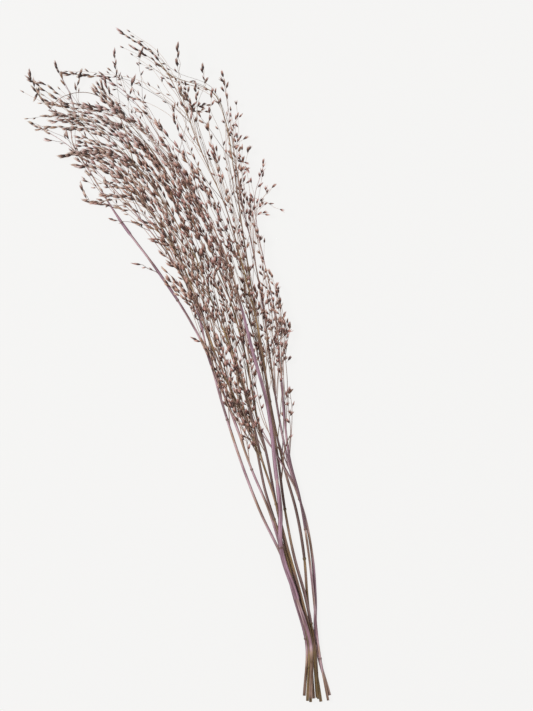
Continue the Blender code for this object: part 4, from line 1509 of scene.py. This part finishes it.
def straw_finish(name, patches, deep, sheath, dark_sheath, knot, fine):
    """Patches of colour along the straw with dark veins. Sheaths, with veins and folds of their own, come
    over them, then painted shade darkening both level sides, the fine parts each in its tone, and the knots."""
    material, tree, shader = shade(name, STRAW_ROUGHNESS)
    streaks, veins, side_shade, folds = straw_patterns(tree)
    deep = linear(*deep)
    colour = noise(tree, object_place(tree), PATCH_SCALE, PATCH_DETAIL)
    colour = colours_by(tree, colour, *zip(PATCH_STOPS, patches))
    colour = covered(tree, colour, deep, veins, VEIN_STRENGTH)
    wrap = mixed(tree, value_of(tree, "dark"), linear(*sheath), linear(*dark_sheath))
    wrap = covered(tree, wrap, deep, veins, SHEATH_VEIN_STRENGTH)
    wrap = covered(tree, wrap, deep, folds, FOLD_STRENGTH)
    colour = mixed(tree, value_of(tree, "sheath"), colour, wrap)
    # Painted shade: both level sides darkened towards the deep colour.
    colour = covered(tree, colour, deep, side_shade, SIDE_SHADE_STRENGTH)
    fine_colour = covered(tree, linear(*fine), deep, value_of(tree, "dark"), FINE_DARK)
    colour = mixed(tree, ranged(tree, value_of(tree, "fine"), *FINE_EDGES), colour, fine_colour)
    colour = covered(tree, colour, linear(*knot), value_of(tree, "knot"), KNOT_STRENGTH)
    finish_surface(tree, shader, colour, streaks, STREAK_RELIEF, STRAW_SHEEN)
    return material


STRAW = {name: straw_finish(name, **colours) for name, colours in STRAW_COLOURS.items()}
print("finishes:", sorted(STRAW))

# %% [markdown]
# ## The colour of a husk
#
# A husk is darkest where it is rooted and pales to a pinkish tan at its tip. Some are ripe and pale all
# over, some stay dark, and a few are orange brown. A ramp of colours from root to tip gives the ripening,
# and the husk's own numbers shift and tint it, so one material serves them all. Those at the lower right
# are rosy, those along the top and left are greyer, some at the left edge are tan, and those at the very
# top are darkest.

# %% Husks
RIPENING = ((0.0, (34, 14, 10)), (0.14, (46, 24, 18)), (0.28, (108, 76, 66)), (0.42, (182, 152, 140)),
            (0.66, (238, 222, 213)), (1.0, (250, 240, 232)))
TONE_SHIFT = 0.38
RIPE_BACK = 0.2
ROSY_BACK = 0.1
ROSY_FLAT = 0.15
FLAT_COLOUR = (150, 118, 106)
GREY_TINT, ROSY_TINT = (0.94, 0.98, 1.01), (1.02, 0.88, 0.85)
OWN_TINTS = (1.0, 0.86, 0.89), (0.97, 0.96, 0.87)
REGION_TINTS = (0.99, 0.95, 0.87), (0.97, 0.86, 0.91)
REGION_SCALE = 45.0
REGION_DETAIL = 2.0
REGION_EDGES = (0.38, 0.62)
TINT_STRENGTH = 0.8
ORANGE_EDGES = (0.93, 0.97)
ORANGE, ORANGE_STRENGTH = (150, 110, 74), 0.6
GRAIN_SCALE = 900.0
GRAIN_DETAIL = 3.0
GRAIN_EDGES = (0.4, 0.7)
SPECKLE, SPECKLE_STRENGTH = (104, 80, 72), 0.3
HUSK_ROUGHNESS = 0.58
GRAIN_RELIEF = 0.3
HUSK_SHEEN = 0.1


def husk_finish(name):
    """A ramp read at ripe + 0.38·tone - 0.2 - 0.1·rosy, flattened a little by rosy. Three tints multiply
    it: by rosy, by tan and by soft regions of the bunch. Then come the orange ones and a fine speckle."""
    material, tree, shader = shade(name, HUSK_ROUGHNESS)
    rosy = value_of(tree, "rosy")
    shift = calculated(tree, "MULTIPLY_ADD", value_of(tree, "tone"), TONE_SHIFT, 0.0)
    ripe = calculated(tree, "ADD", value_of(tree, "ripe"), shift)
    ripe = calculated(tree, "SUBTRACT", ripe, RIPE_BACK)
    ripe = calculated(tree, "SUBTRACT", ripe, calculated(tree, "MULTIPLY", rosy, ROSY_BACK))
    colour = covered(tree, colours_by(tree, ripe, *RIPENING), linear(*FLAT_COLOUR), rosy, ROSY_FLAT)
    colour = mixed(tree, 1.0, colour, mixed(tree, rosy, GREY_TINT, ROSY_TINT), "MULTIPLY")
    region = ranged(tree, noise(tree, object_place(tree), REGION_SCALE, REGION_DETAIL), *REGION_EDGES)
    for share, tints in ((value_of(tree, "tan"), OWN_TINTS), (region, REGION_TINTS)):
        colour = mixed(tree, TINT_STRENGTH, colour, mixed(tree, share, *tints), "MULTIPLY")
    orange = ranged(tree, value_of(tree, "odd"), *ORANGE_EDGES)
    colour = covered(tree, colour, linear(*ORANGE), orange, ORANGE_STRENGTH)
    grain = noise(tree, object_place(tree), GRAIN_SCALE, GRAIN_DETAIL)
    colour = covered(tree, colour, linear(*SPECKLE), ranged(tree, grain, *GRAIN_EDGES), SPECKLE_STRENGTH)
    finish_surface(tree, shader, colour, grain, GRAIN_RELIEF, HUSK_SHEEN)
    return material


HUSK = husk_finish("husk")
print("the husks' finish has", len(HUSK.node_tree.nodes), "nodes")

# %% [markdown]
# ## Putting each stem in its place
#
# Each stem is two pieces, its straw and its husks. One piece would do as well, but the two have different
# finishes and different faces. Both stand for the stem's solid and ride with it.

# %% Make the stems
for stem_name, spec in STEMS.items():
    for piece, finish in ((straw_piece(stem_name), STRAW[spec["slot"]]), (husk_piece(stem_name), HUSK)):
        piece.data.materials.append(finish)
        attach(piece, "root")
        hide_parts(stem_name)
        print(piece.name, len(piece.data.polygons), "faces")

# %% [markdown]
# ## Floor and light
#
# The floor is plain and nearly white, as a photographer's table lit from below. Only a strong lamp would
# make a plain white floor as bright, and it would bleach the grass with it. So the floor glows by itself,
# and almost no colour is left for light to fall on, which keeps the shadows under the bunch faint. A bright
# even sky and one large soft lamp light the grass.

# %% Floor
HALF_FLOOR = 3.0
FLOOR_ROUGHNESS = 0.9
DARK_BASE = (0.04, 0.0397, 0.0393)
WARM_WHITE = (1.0, 0.995, 0.985)
GLOW = 0.86
floor_mesh = bpy.data.meshes.new("floor")
floor_corners = [(-HALF_FLOOR, -HALF_FLOOR, 0), (HALF_FLOOR, -HALF_FLOOR, 0),
                 (HALF_FLOOR, HALF_FLOOR, 0), (-HALF_FLOOR, HALF_FLOOR, 0)]
floor_mesh.from_pydata(floor_corners, [], [(0, 1, 2, 3)])
floor = bpy.data.objects.new("floor", floor_mesh)
bpy.context.scene.collection.objects.link(floor)
floor_finish, floor_tree, floor_shader = shade("pale_floor", FLOOR_ROUGHNESS)
floor_shader.inputs["Base Color"].default_value = (*DARK_BASE, 1.0)
floor_shader.inputs["Emission Color"].default_value = (*WARM_WHITE, 1.0)
floor_shader.inputs["Emission Strength"].default_value = GLOW
floor_mesh.materials.append(floor_finish)
print("the floor is", 2 * HALF_FLOOR, "m wide")

# %% Sky and lamp
SKY_STRENGTH = 0.5
LAMP_SIZE = 0.9
LAMP_WATTS = 30.0
LAMP_PLACE = (-1.1, 0.5, 1.9)
sky = bpy.data.worlds.new("sky")
sky.use_nodes = True
sky.node_tree.nodes["Background"].inputs["Color"].default_value = (*WARM_WHITE, 1.0)
sky.node_tree.nodes["Background"].inputs["Strength"].default_value = SKY_STRENGTH
bpy.context.scene.world = sky
lamp_data = bpy.data.lights.new("soft_lamp", "AREA")
lamp_data.shape = "DISK"
lamp_data.size = LAMP_SIZE
lamp_data.energy = LAMP_WATTS
lamp = bpy.data.objects.new("soft_lamp", lamp_data)
lamp.location = LAMP_PLACE
bpy.context.scene.collection.objects.link(lamp)
aim = -np.array(lamp.location)
tilt = math.atan2(math.hypot(aim[0], aim[1]), -aim[2])
lamp.rotation_euler = (tilt, 0.0, math.atan2(aim[0], -aim[1]) + math.pi)
bpy.context.scene.view_settings.view_transform = "Standard"
print("the lamp leans", round(math.degrees(tilt)), "degrees towards the bunch")
